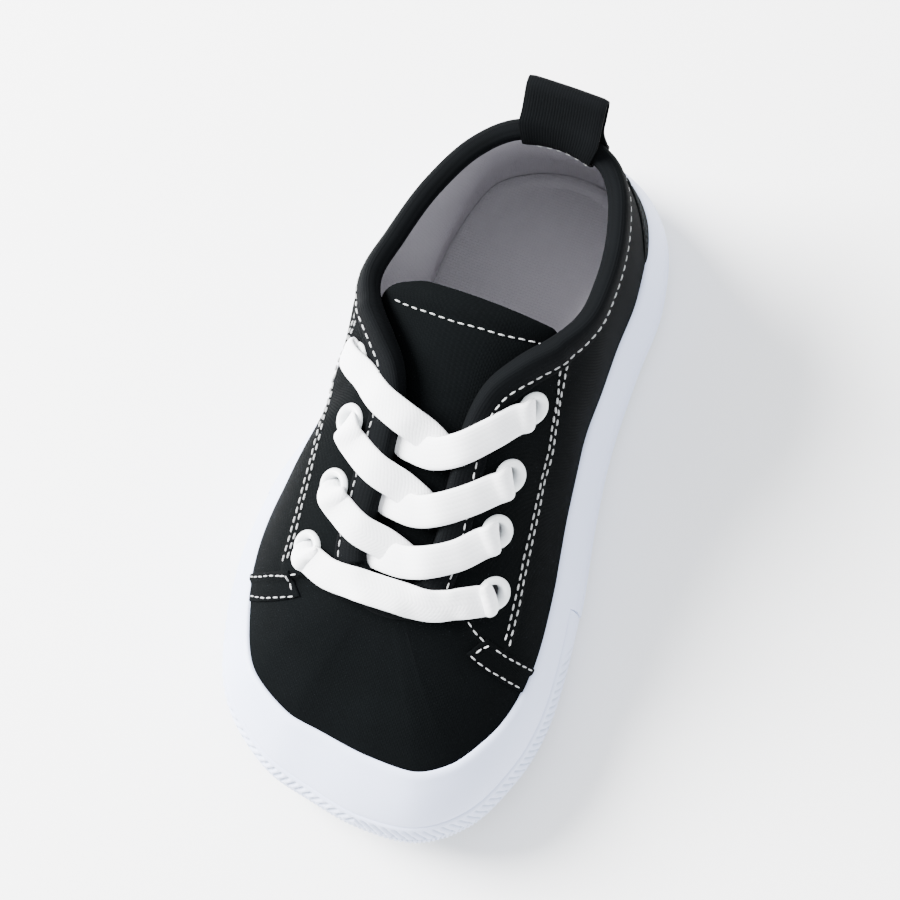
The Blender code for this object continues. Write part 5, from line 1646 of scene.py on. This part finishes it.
def cup_upper_side(turn, share):
    """The smooth upper part of the side, up to the lip."""
    low = bumper_top(turn) + 0.1 if under_bumper(turn) else CUP_LINES[-1].height
    high = SOLE.at(turn, "top") - LIP_HEIGHT
    height = low + (high - low) * share
    return sole_point(turn, side_inset(turn, height), height)


def cup_lip(turn, share):
    """The rounded lip, from the side over the top to the cloth."""
    rim, top = SOLE.at(turn, "rim"), SOLE.at(turn, "top")
    start = side_inset(turn, top - LIP_HEIGHT)
    angle = share * math.pi / 2
    inset = start + (rim - LIP_INSIDE - start) * math.sin(angle)
    height = top - LIP_HEIGHT + (LIP_HEIGHT + LIP_SWELL) * (1 - (1 - math.sin(angle)) ** 2)
    return sole_point(turn, inset, height)


def cup_inside(turn, s):
    return cavity_point(turn, s, -0.12)


class SHOE_OT_cup(bpy.types.Operator):
    """Moulds the cup sole: its ribbed side, the rounded lip round the cloth and its floor."""

    bl_idname = "shoe.cup"
    bl_label = "Cup sole"

    def execute(self, context):
        turns = round_turns(SOLE_COLUMNS, [BUMPER_TURN])
        bottom = sole_fill(
            lambda turn, x, run: FRONT_HEIGHT if under_bumper(turn) else CUP_FOOT,
            CORE_INSET, (1.0, 0.0),
        )
        floor = sole_fill(lambda turn, x, run: FLOOR_HEIGHT, CUP_FLOOR_INSET, (0.0, 1.0))
        rows = bottom + [(cup_line, line) for line in CUP_LINES]
        rows += [(cup_upper_side, share) for share in even(12, 0.05, 1.0)]
        rows += [(cup_lip, share) for share in even(9, 0.12, 1.0)]
        rows += [(cup_inside, s) for s in (0.0, 0.12, 0.3, 0.6, 1.0)] + floor
        mesh = sheet(turns, rows, run_rows)
        rubber = colours().rubber
        material = rubber_finish("cup_rubber", rubber, lighter(rubber, 0.93))
        piece(mesh, "rubber_cup", [material], ["cup_sole"], 55)
        return {"FINISHED"}


PAINTED_RIB_SHADE = (0.36, 0.43, 0.58)  # painted shade in the troughs between the bumper's ribs
RIB_PITCH = 2.1  # of the leaning ribs in the bumper's upper tier
BUMPER_LENGTH = 156.0  # round the toe, from end to end
TIER_LINE = 5.9  # height of the groove between the two tiers


def rib_wave(place):
    """Ribs with rounded crests and narrow troughs: 0 in a trough to 1 on a crest."""
    return abs(math.sin(math.pi * place)) ** 0.8


def rib_place(turn, height):
    """How many ribs lie between the toe's middle and a place: leaning ones above the groove."""
    along = (turn - 0.5) * BUMPER_LENGTH / (1 - 2 * BUMPER_TURN)
    if height <= TIER_LINE:
        return along / (RIB_PITCH / 2)
    return (along + math.copysign((height - TIER_LINE) * 0.55, along)) / RIB_PITCH


def rib_share(turn):
    """How far the ribs have risen at a turn: they fade in from both ends of the bumper."""
    return smooth_step(0.0, 0.045, 0.5 - abs(turn - 0.5) - BUMPER_TURN - 0.002)


def bumper_out(turn, height):
    """Relief of the bumper: leaning ribs above the groove, fine upright ones below it."""
    top = bumper_top(turn)
    wave = rib_wave(rib_place(turn, height))
    if height > TIER_LINE:
        border = smooth_step(TIER_LINE + 0.5, TIER_LINE + 1.1, height)
        border *= 1 - smooth_step(top - 1.5, top - 0.9, height)
    else:
        wave = wave * 0.7 + 0.3
        border = smooth_step(1.2, 1.8, height) * (1 - smooth_step(TIER_LINE - 1.0, TIER_LINE - 0.5, height))
    ends = rib_share(turn)
    groove = 0.45 * bell(height - TIER_LINE, 0.28) * ends
    return sizes().rib_height * ((wave - 1) * border * ends) + 0.05 + 0.23 * ends - groove


def bumper_height(turn, share):
    return BUMPER_FOOT + (bumper_top(turn) - BUMPER_FOOT) * share


def bumper_face(turn, share):
    """The bumper's face, from its foot to its rounded brow."""
    height = bumper_height(turn, share)
    rounding = 0.7 * (1 - math.sqrt(max(0.0, 1 - (max(0.0, share - 0.93) / 0.07) ** 2)))
    foot = 0.5 * (1 - smooth_step(0.0, 0.06, share))
    out = bumper_out(turn, height) - rounding - foot
    return sole_point(turn, side_inset(turn, height) - out, height)


def bumper_back(turn, share):
    height = bumper_height(turn, share)
    return sole_point(turn, side_inset(turn, height) + BUMPER_DEPTH - 0.1, height)


def bumper_flat(turn, row):
    """The bumper's coordinates: ribs from the toe's middle, and mm below its upper edge on its face."""
    place, share = row
    height = bumper_height(turn, share)
    below = bumper_top(turn) - height if place is bumper_face else 0.0
    return rib_place(turn, height), below * rib_share(turn)


class SHOE_OT_bumper(bpy.types.Operator):
    """Moulds the ribbed bumper strip round the toe."""

    bl_idname = "shoe.bumper"
    bl_label = "Toe bumper"

    def execute(self, context):
        start = BUMPER_TURN + 0.0012
        count = round(BUMPER_LENGTH / RIB_PITCH * 10)
        turns = even(count + 1, start, 1 - start)
        shares = [0.0, 0.03, 0.06, 0.1] + even(22, 0.13, 0.93) + [0.955, 0.975, 0.99, 1.0]
        rows = [(bumper_face, share) for share in shares]
        rows += [(bumper_back, share) for share in (1.0, 0.5, 0.0)]
        mesh = sheet(turns, rows + rows[:1], run_rows, bumper_flat)
        cap(mesh)
        rubber = colours().rubber
        material = rubber_finish("bumper_rubber", rubber, lighter(rubber, 0.9), ribbed=True)
        piece(mesh, "ribbed_bumper", [material], ["toe_bumper"], 60)
        return {"FINISHED"}


def insole_edge(turn, row):
    more, height = row
    inset = SOLE.at(turn, "wall") + FLOOR_TURN_IN + WALL - more
    return sole_point(turn, inset, height)


class SHOE_OT_insole(bpy.types.Operator):
    """Lays the cloth-covered insole in the cup, slightly dished under the heel."""

    bl_idname = "shoe.insole"
    bl_label = "Insole"

    def execute(self, context):
        top = FLOOR_HEIGHT + INSOLE_THICKNESS

        def dish(turn, x, run):
            edge = 1 - bell(x - 0.3, 13.0) * bell(max(0.0, run - 62.0), 40.0)
            return top - 0.15 + 0.75 * edge * (1 - smooth_step(60.0, 100.0, run))

        bottom = sole_fill(lambda turn, x, run: FLOOR_HEIGHT + 0.2, INSOLE_INSETS[0], (1.0, 0.0))
        face = sole_fill(dish, INSOLE_INSETS[1], (0.0, 0.2, 0.4, 0.6, 0.8, 1.0))
        edge = [(-0.6, FLOOR_HEIGHT + 0.2), (0.0, FLOOR_HEIGHT + 1.0), (0.25, top - 0.2)]
        edge += [(0.35, top + 0.55), (-0.1, top + 0.68), (-0.9, top + 0.66), (-1.9, top + 0.62)]
        rows = bottom + [(insole_edge, row) for row in edge] + face
        mesh = sheet(
            round_turns(160), rows, run_rows,
            lambda turn, row: tuple(part / MM for part in run_rows(turn, row).xy),
        )
        material = lining_finish("insole_lining", lighter(colours().lining, 0.95))
        piece(mesh, "cloth_insole", [material], ["insole"], 70)
        return {"FINISHED"}


# ---------------------------------------------------------------- eyelets

# Section of an eyelet, from its back flange up the barrel and over to the front flange's edge, as
# (radius, height over the cloth).
EYELET_SECTION = [
    (3.0, -2.75), (2.5, -2.95), (2.05, -2.7), (1.85, -2.0), (1.8, -0.6), (1.88, 0.1), (2.1, 0.55),
    (2.45, 0.8), (2.8, 0.82), (3.15, 0.66), (3.42, 0.36), (3.55, 0.06), (3.5, -0.08), (2.35, -0.1),
    (2.3, -2.3), (3.0, -2.4),
]


class SHOE_OT_eyelets(bpy.types.Operator):
    """Spins the eight enamelled eyelet rings and sets each in its hole."""

    bl_idname = "shoe.eyelets"
    bl_label = "Eyelets"

    def execute(self, context):
        material = enamel_finish("eyelet_enamel", colours().enamel)
        for name, turn, s in eyelet_places():
            mesh = bmesh.new()
            profile = [mesh.verts.new((radius * MM, 0, height * MM)) for radius, height in EYELET_SECTION]
            edges = [mesh.edges.new(pair) for pair in zip(profile, profile[1:] + profile[:1])]
            bmesh.ops.spin(
                mesh, geom=profile + edges, cent=(0, 0, 0), axis=(0, 0, 1), angle=math.tau, steps=36,
                use_merge=True, use_duplicate=False,
            )
            close(mesh)
            bmesh.ops.transform(mesh, matrix=eyelet_matrix(turn, s), verts=mesh.verts)
            bmesh.ops.recalc_face_normals(mesh, faces=mesh.faces)
            piece(mesh, name + "_ring", [material], [name], 60)
        return {"FINISHED"}


# ---------------------------------------------------------------- laces

LACE_SETTLE = 1.35  # the soft lace lies this much closer to the cloth than its solid
LACE_IN_HOLE = 0.58  # share of its width that the lace keeps in an eyelet
LACE_IN_REACH = 1.5  # length from its hidden end up to the hole
LACE_OPENING = 5.6  # length over which it opens out from the hole
LACE_TUCK = {"outer": 1.6, "inner": 4.2}  # how far each lace goes on beyond its last place
LACE_END = 4.5  # length over which its hidden end narrows
LACE_TUCK_DEPTH = -2.3
LACE_STEPS = 2.2  # sections of the strip in each mm
LACED_WIDTH = 44.0  # within which the laces follow the slope of the cloth
LACED_RUNS = (60.0, 112.0)

# From inside the shoe up through an eyelet: forward along the lace and height, in mm. The last outer
# lace lies back over its ring and hides it.
HOLE_STEPS = ((0.2, -4.6), (0.35, -2.0), (0.6, -0.2), (1.2, 1.2), (2.6, 2.0))
HOLE_STEPS_BACK = ((0.2, -4.6), (0.0, -2.0), (-0.7, 0.0), (-2.7, 0.9), (-1.8, 1.8), (1.4, 1.9))


def hole_points(matrix, toward, at_front=True):
    """From inside the shoe up through an eyelet and over its ring in some direction."""
    middle, up = matrix.translation, matrix.col[2].xyz
    level = (toward - middle) - up * (toward - middle).dot(up)
    ahead = level.normalized()
    steps = HOLE_STEPS if at_front else HOLE_STEPS_BACK
    return [middle + (ahead * forward + up * rise) * MM for forward, rise in steps]


def deck_point(place, settle=LACE_SETTLE):
    point, up = deck_frame(place.x, place.run)
    return point + up * (place.lift - settle) * MM


def lace_line(route, holes, side, back):
    """A lace's middle line, from its first eyelet to its second or to its tuck under the throat's edge."""
    line = [deck_point(place) for place in route[1:]]
    line = hole_points(holes[0], line[0], not back) + line
    if len(holes) == 2:
        line = line[:-1]
        line += reversed(hole_points(holes[1], line[-1]))
    else:
        last, before = route[-1], route[-2]
        away = Vector((last.x - before.x, last.run - before.run)).normalized() * LACE_TUCK[side]
        tuck = LacePoint(last.x + away.x, last.run + away.y, LACE_TUCK_DEPTH)
        line[-1] = deck_point(route[-1], 0.35)
        line.append(deck_point(tuck, 0.0))
    return line


def lace_sections(line, holes):
    """Sections along a flat soft strip: their places, and how far it is open and how wide there."""
    count = max(40, round(sum((b - a).length for a, b in zip(line, line[1:])) / MM * LACE_STEPS))
    middles = curve_through(line, count)
    laps = lengths_along(middles, MM)
    side = None
    sections = []
    for index, middle in enumerate(middles):
        along = (middles[min(index + 1, count - 1)] - middles[max(index - 1, 0)]).normalized()
        up = deck_up(middle)
        if side is None:
            side = along.cross(up)
        fresh = along.cross(up)
        if fresh.length > 0.35:
            side = fresh.normalized() if fresh.dot(side) > 0 else -fresh.normalized()
        side = (side - along * side.dot(along)).normalized()
        top = side.cross(along).normalized()
        sections.append((middle, side, top))
    for _ in range(12):
        sections = relax(sections)
    opened, widths = [], []
    for lap in laps:
        left = laps[-1] - lap
        open_share = smooth_step(LACE_IN_REACH, LACE_IN_REACH + LACE_OPENING, lap)
        wide = 1.0
        if len(holes) == 2:
            open_share = min(open_share, smooth_step(LACE_IN_REACH, LACE_IN_REACH + LACE_OPENING, left))
        else:
            wide = 0.3 + 0.7 * math.sqrt(1 - (1 - min(1.0, left / LACE_END)) ** 2)
        opened.append(open_share)
        widths.append(wide)
    return sections, laps, opened, widths


def relax(sections):
    """Evens out how the strip turns along its length."""
    eased = []
    for index, (middle, side, top) in enumerate(sections):
        before, after = sections[max(0, index - 1)], sections[min(len(sections) - 1, index + 1)]
        along = after[0] - before[0]
        side = before[1] + side + after[1]
        side = (side - along * (side.dot(along) / along.length_squared)).normalized()
        eased.append((middle, side, side.cross(along).normalized()))
    return eased


def deck_up(point):
    x, run = point.x / MM + MIDDLE_X, MIDDLE_RUN - point.y / MM
    across = min(max(x, -LACED_WIDTH / 2), LACED_WIDTH / 2)
    return deck_frame(across, min(max(run, LACED_RUNS[0]), LACED_RUNS[1]))[1]


def lace_strip(line, holes):
    sections, laps, opened, widths = lace_sections(line, holes)
    width, thickness = sizes().lace_width, sizes().lace_thickness

    def place(index, angle):
        middle, side, top = sections[index]
        full = opened[index]
        half = width / 2 * (LACE_IN_HOLE + (1 - LACE_IN_HOLE) * full) * widths[index]
        deep = thickness / 2 * (1.15 - 0.15 * full)
        turned = angle * math.tau
        across = math.copysign(abs(math.cos(turned)) ** 0.75, math.cos(turned))
        rise = math.copysign(abs(math.sin(turned)) ** 0.7, math.sin(turned))
        swell = 1 + 0.05 * math.sin(laps[index] * 0.9 + 1)
        return middle + (side * across * half + top * rise * deep * swell) * MM

    def flat(index, angle):
        return math.cos(angle * math.tau) * width / 2 + (angle > 0.5) * 30, laps[index]

    mesh = sheet(list(range(len(sections))), even(25), place, flat)
    cap(mesh)
    return mesh


class SHOE_OT_laces(bpy.types.Operator):
    """Runs the flat laces from eyelet to eyelet: a bar at the toe and three crossings above it."""

    bl_idname = "shoe.laces"
    bl_label = "Laces"

    def execute(self, context):
        holes = {name: eyelet_matrix(turn, s) for name, turn, s in eyelet_places()}
        material = lace_finish("lace_cotton", colours().lace)
        for node, routes in LACE_ROUTES.items():
            row = node[-1]
            strips = bmesh.new()
            for side, route in zip(("outer", "inner"), routes):
                ends = [holes[f"eyelet_{side}_{row}"]]
                if len(routes) == 1:
                    ends.append(holes[f"eyelet_inner_{row}"])
                strip = lace_strip(lace_line(route, ends, side, side == "outer" and row == "4"), ends)
                data = bpy.data.meshes.new("strip")
                strip.to_mesh(data)
                strip.free()
                strips.from_mesh(data)
                bpy.data.meshes.remove(data)
            piece(strips, "cotton_" + node, [material], [node], 75)
        return {"FINISHED"}


# ---------------------------------------------------------------- stitches

SeamPoint = namedtuple("SeamPoint", "turn depth")
# Middle line of each double seam along an eyestay, from the collar to the vamp.
EYESTAY_SEAMS = {
    "outer": list_of(
        SeamPoint,
        (0.2185, 4.6), (0.2240, 7.6), (0.2301, 14.3), (0.2405, 20.5), (0.2567, 23.0), (0.2877, 20.3),
        (0.3047, 18.6), (0.3182, 17.6), (0.3315, 17.4), (0.3444, 18.3),
    ),
    "inner": list_of(
        SeamPoint,
        (0.7790, 4.6), (0.7762, 6.5), (0.7716, 10.8), (0.7628, 16.9), (0.7493, 22.8), (0.7297, 24.8),
        (0.7143, 24.6), (0.6971, 23.2), (0.6829, 21.8), (0.6657, 21.7), (0.6585, 22.0),
    ),
}
# The binding's stitched row: on the collar near the binding's foot, nearer the crest where it bends.
BINDING_ROW = list_of(
    SeamPoint,
    (0.035, 4.0), (0.190, 4.0), (0.216, 2.9), (0.235, 2.2), (0.258, 2.3), (0.275, 3.1), (0.300, 4.1),
    (0.335, 4.2), (0.366, 4.2), (0.634, 4.2), (0.665, 4.0), (0.700, 3.2), (0.726, 2.3), (0.745, 2.9),
    (0.768, 3.7), (0.790, 3.6), (0.810, 3.4), (0.850, 4.0), (0.965, 4.0),
)
BINDING_ROW_GAP = (0.366, 0.634)  # turns between which the row runs hidden under the lowest lace
COUNTER_ROWS = (0.925, 0.872)  # shares of the counter's size
STITCH_RISE = 0.26  # height of a stitch over the middle of its thread

PatchCorner = namedtuple("PatchCorner", "turn s")
# The stitched outline of each side patch, from its foot at the back round to its foot in front.
PATCH_SEAMS = {
    "outer": list_of(
        PatchCorner,
        (0.345, 0.03), (0.3494, 0.47), (0.3618, 0.448), (0.3549, 0.03),
    ),
    "inner": list_of(
        PatchCorner,
        (0.6622, 0.04), (0.6533, 0.452), (0.6388, 0.466), (0.6482, 0.04),
    ),
}
# The vamp's seam goes on over each patch, up under the lowest lace.
VAMP_SEAMS = {
    "outer": [PatchCorner(0.3495, 0.5), PatchCorner(0.3496, 0.6)],
    "inner": [PatchCorner(0.6532, 0.485), PatchCorner(0.6528, 0.56), PatchCorner(0.6546, 0.69)],
}


def straight(points, per_piece):
    """Points along straight stretches between corners."""
    line = []
    for a, b in zip(points, points[1:]):
        line += [tuple(p + (q - p) * k / per_piece for p, q in zip(a, b)) for k in range(per_piece)]
    return line + [tuple(points[-1])]


def on_cloth(places, lift=0.0):
    """Points and outward directions on the cloth, for a list of turn and s."""
    return [cloth_frame(turn % 1.0, s, lift) for turn, s in places]


def sew(mesh, track, shift=0.0, phase=0.0):
    """Sews a row of stitches along a track of points and outward directions."""
    size = sizes()
    laps = lengths_along([point for point, _ in track], MM)
    middle = phase * size.stitch_pitch + size.stitch_length / 2
    while middle < laps[-1] - size.stitch_length / 2:
        index = min(bisect_right(laps, middle), len(laps) - 1)
        (a, up_a), (b, up_b) = track[index - 1], track[index]
        share = (middle - laps[index - 1]) / (laps[index] - laps[index - 1])
        up = up_a.lerp(up_b, share).normalized()
        along = (b - a).normalized()
        side = up.cross(along).normalized()
        wobble = 0.07 * math.sin(middle * 12.9 + shift * 7)
        place = a.lerp(b, share) + (side * (shift + wobble) + up * 0.08) * MM
        stitch(mesh, frame_matrix(place, along + side * 0.05 * math.sin(middle * 7.7), up))
        middle += size.stitch_pitch
    return mesh


def stitch(mesh, matrix):
    """One stitch: a thread that comes up, lies along the seam and goes down again."""
    size = sizes()
    half = (size.stitch_length / 2 * MM, size.thread_width / 2 * MM, STITCH_RISE * MM, 1.0)
    made = bmesh.ops.create_uvsphere(mesh, u_segments=8, v_segments=5, radius=1.0)["verts"]
    quarter = Matrix.Rotation(math.pi / 2, 4, "Y")
    bmesh.ops.transform(mesh, matrix=quarter, verts=made)
    cloth = mesh.loops.layers.uv.verify()
    for vert in made:
        flat = vert.co.y * size.thread_width / 2, vert.co.x * size.stitch_length / 2
        for loop in vert.link_loops:
            loop[cloth].uv = flat
        vert.co.x = math.copysign(abs(vert.co.x) ** 0.7, vert.co.x)
    bmesh.ops.transform(mesh, matrix=matrix @ Matrix.Diagonal(half), verts=made)


def thread_mesh():
    mesh = bmesh.new()
    mesh.loops.layers.uv.new("cloth")
    return mesh


def along_seam(seam, per_point):
    """Turns and depths along a list of them, smooth between them."""
    flat = [Vector((point.turn * ROUND_LENGTH, point.depth, 0.0)) for point in seam]
    return [(place.x / ROUND_LENGTH, place.y) for place in curve_through(flat, len(seam) * per_point)]


def seam_track(seam):
    return on_cloth([(turn, below_edge(turn % 1.0, depth)) for turn, depth in along_seam(seam, 7)])


def binding_track(rows):
    track = []
    for turn, depth in along_seam(rows, 30):
        s = below_edge(turn, depth)
        up = cloth_frame(turn, s)[1]
        track.append((upper_point(turn, s, layers_out(turn, s) + binding_height(depth)), up))
    return track


def binding_height(depth):
    """Height of the binding's outer face over the cloth at a depth."""
    folds = sorted((fold.depth, fold.out) for fold in BINDING_FOLDS[2:9])
    for (low, low_out), (high, high_out) in zip(folds, folds[1:]):
        if depth <= high:
            return low_out + (high_out - low_out) * max(0.0, (depth - low) / (high - low))
    return folds[-1][1]


def counter_track(share):
    places = []
    for k in range(57):
        angle = math.pi * (0.02 + 0.96 * k / 56)
        turn = COUNTER_ARCH * math.cos(angle) * share
        s = COUNTER_HEIGHT * math.sin(angle) * share
        places.append((turn, s))
    return on_cloth(places, COUNTER_THICKNESS - 0.1)


def tongue_track():
    track = []
    for across in even(30, *TONGUE_ROW_ENDS):
        x = tongue_at(TONGUE_SEAM_RUN, "x") + tongue_at(TONGUE_SEAM_RUN, "half_width") * across
        run = tongue_seam_run(x)
        track.append((tongue_face(run, across, 0.05), tongue_up(run, across)))
    return track


def loop_foot_track(share, depth, out, facing):
    """Across the foot of one of the pull loop's legs: facing is 1 outside the heel and -1 inside it."""
    track = []
    for turn in even(9, -LOOP_TURN * share, LOOP_TURN * share):
        wrapped = turn % 1.0
        s = below_edge(wrapped, depth)
        track.append((upper_point(wrapped, s, out), cloth_frame(wrapped, s)[1] * facing))
    return track


class SHOE_OT_stitches(bpy.types.Operator):
    """Sews the rows of stitches on the collar, eyestays, patches, counter, tongue and pull loop."""

    bl_idname = "shoe.stitches"
    bl_label = "Stitches"

    def execute(self, context):
        thread = thread_finish("sewing_thread", colours().thread)
        half = sizes().row_spacing / 2
        before, beyond = BINDING_ROW_GAP
        collar = sew(thread_mesh(), binding_track([row for row in BINDING_ROW if row.turn <= before]))
        sew(collar, binding_track([row for row in BINDING_ROW if row.turn >= beyond]))
        piece(collar, "collar_stitches", [thread])
        stay = thread_mesh()
        for seam in EYESTAY_SEAMS.values():
            track = seam_track(seam)
            sew(stay, track, half, 0.0)
            sew(stay, track, -half, 0.5)
        piece(stay, "eyestay_stitches", [thread])
        patches = thread_mesh()
        for side, corners in PATCH_SEAMS.items():
            lift = PATCH_THICKNESS - 0.05
            for a, b in zip(corners, corners[1:]):
                sew(patches, on_cloth(straight([a, b], 12), lift))
            sew(patches, on_cloth(straight(VAMP_SEAMS[side], 8)))
        piece(patches, "patch_stitches", [thread])
        counter = thread_mesh()
        for share in COUNTER_ROWS:
            sew(counter, counter_track(share), 0.0, share * 7 % 1)
        dark = thread_finish("counter_thread", lighter(colours().tape, 8.0))
        piece(counter, "counter_stitches", [dark])
        tongue = sew(thread_mesh(), tongue_track())
        piece(tongue, "tongue_stitches", [thread])
        loop = thread_mesh()
        sew(loop, loop_foot_track(0.82, LOOP_DEPTH - 1.2, LAYER + LOOP_TAPE + 0.05, 1))
        sew(loop, loop_foot_track(0.9, LOOP_INSIDE - 1.3, -WALL - LOOP_TAPE - 0.95, -1))
        piece(loop, "loop_stitches", [thread])
        return {"FINISHED"}


# ---------------------------------------------------------------- stage

CAMERA_PLACE = Vector((0.07498, -0.07847, 0.44227))
CAMERA_RIGHT = Vector((0.934, 0.357, 0.0))
CAMERA_LENS = 83.0
FLOOR_SIZE = 6.0
PAPER, PAPER_SHADE = (0.93, 0.93, 0.93), (0.9, 0.9, 0.9)
SKY = (0.95, 0.97, 1.0, 1.0)
SKY_STRENGTH = 2.1
Light = namedtuple("Light", "name place size watts colour")
# A broad light from the outer side of the shoe and a weak one from its inner side.
LIGHTS = list_of(
    Light,
    ("key", (-1.0, 0.0, 0.8), 0.8, 130.0, (1.0, 0.99, 0.98)),
    ("fill", (0.9, -0.5, 0.8), 1.1, 3.0, (0.88, 0.93, 1.0)),
)


def area_light(light, target):
    data = bpy.data.lights.new(light.name, "AREA")
    data.shape = "DISK"
    data.size = light.size
    data.energy = light.watts
    data.color = light.colour
    lamp = bpy.data.objects.new(light.name, data)
    lamp.location = light.place
    lamp.rotation_mode = "QUATERNION"
    lamp.rotation_quaternion = (target - Vector(light.place)).to_track_quat("-Z", "Y")
    bpy.context.collection.objects.link(lamp)


class SHOE_OT_stage(bpy.types.Operator):
    """Sets the pale floor, the soft lights and the camera."""

    bl_idname = "shoe.stage"
    bl_label = "Stage"

    def execute(self, context):
        low, high = CAD_BOX
        middle = (low + high) / 2
        mesh = bmesh.new()
        bmesh.ops.create_grid(mesh, x_segments=4, y_segments=4, size=FLOOR_SIZE / 2)
        paper = Finish("floor_paper", Specular_IOR_Level=0.1)
        grain = paper.noise(0.4, 3.0, 0.6)
        paper.feed("Base Color", paper.mix(grain * 0.3, PAPER, PAPER_SHADE))
        paper.feed("Roughness", 0.85 + grain * 0.1)
        floor = placed(mesh, "floor", [paper.material])
        world = bpy.data.worlds.new("studio")
        world.use_nodes = True
        sky = world.node_tree.nodes["Background"]
        sky.inputs["Color"].default_value = SKY
        sky.inputs["Strength"].default_value = SKY_STRENGTH
        context.scene.world = world
        for light in LIGHTS:
            area_light(light, middle)
        back = (CAMERA_PLACE - middle).normalized()
        right = (CAMERA_RIGHT - back * CAMERA_RIGHT.dot(back)).normalized()
        up = back.cross(right)
        lens = bpy.data.cameras.new("camera")
        lens.lens = CAMERA_LENS
        lens.sensor_width = 36.0
        lens.clip_start = 0.01
        lens.clip_end = 20.0
        camera = bpy.data.objects.new("camera", lens)
        turned = Matrix((right, up, back)).transposed().to_4x4()
        camera.matrix_world = Matrix.Translation(CAMERA_PLACE) @ turned
        context.collection.objects.link(camera)
        context.scene.camera = camera
        return {"FINISHED"}


# ---------------------------------------------------------------- add-on


class SHOE_PT_panel(bpy.types.Panel):
    """Buttons and settings of the shoe."""

    bl_idname = "SHOE_PT_panel"
    bl_label = "Toddler Canvas Shoe"
    bl_space_type = "VIEW_3D"
    bl_region_type = "UI"
    bl_category = "Shoe"

    def draw(self, context):
        for group in (context.scene.shoe_sizes, context.scene.shoe_colours):
            box = self.layout.box()
            for name in group.__annotations__:
                box.prop(group, name)
        column = self.layout.column(align=True)
        for operator in OPERATORS:
            column.operator(operator.bl_idname)


OPERATORS = (
    SHOE_OT_outsole,
    SHOE_OT_cup,
    SHOE_OT_bumper,
    SHOE_OT_insole,
    SHOE_OT_upper,
    SHOE_OT_binding,
    SHOE_OT_tongue,
    SHOE_OT_overlays,
    SHOE_OT_loop,
    SHOE_OT_eyelets,
    SHOE_OT_laces,
    SHOE_OT_stitches,
    SHOE_OT_stage,
)
CLASSES = (ShoeSizes, ShoeColours, *OPERATORS, SHOE_PT_panel)


def register():
    for each in CLASSES:
        bpy.utils.register_class(each)
    bpy.types.Scene.shoe_sizes = PointerProperty(type=ShoeSizes)
    bpy.types.Scene.shoe_colours = PointerProperty(type=ShoeColours)


def unregister():
    del bpy.types.Scene.shoe_colours
    del bpy.types.Scene.shoe_sizes
    for each in reversed(CLASSES):
        bpy.utils.unregister_class(each)


def main():
    register()
    for operator in OPERATORS:
        area, name = operator.bl_idname.split(".")
        getattr(getattr(bpy.ops, area), name)()


if __name__ == "__main__":
    main()
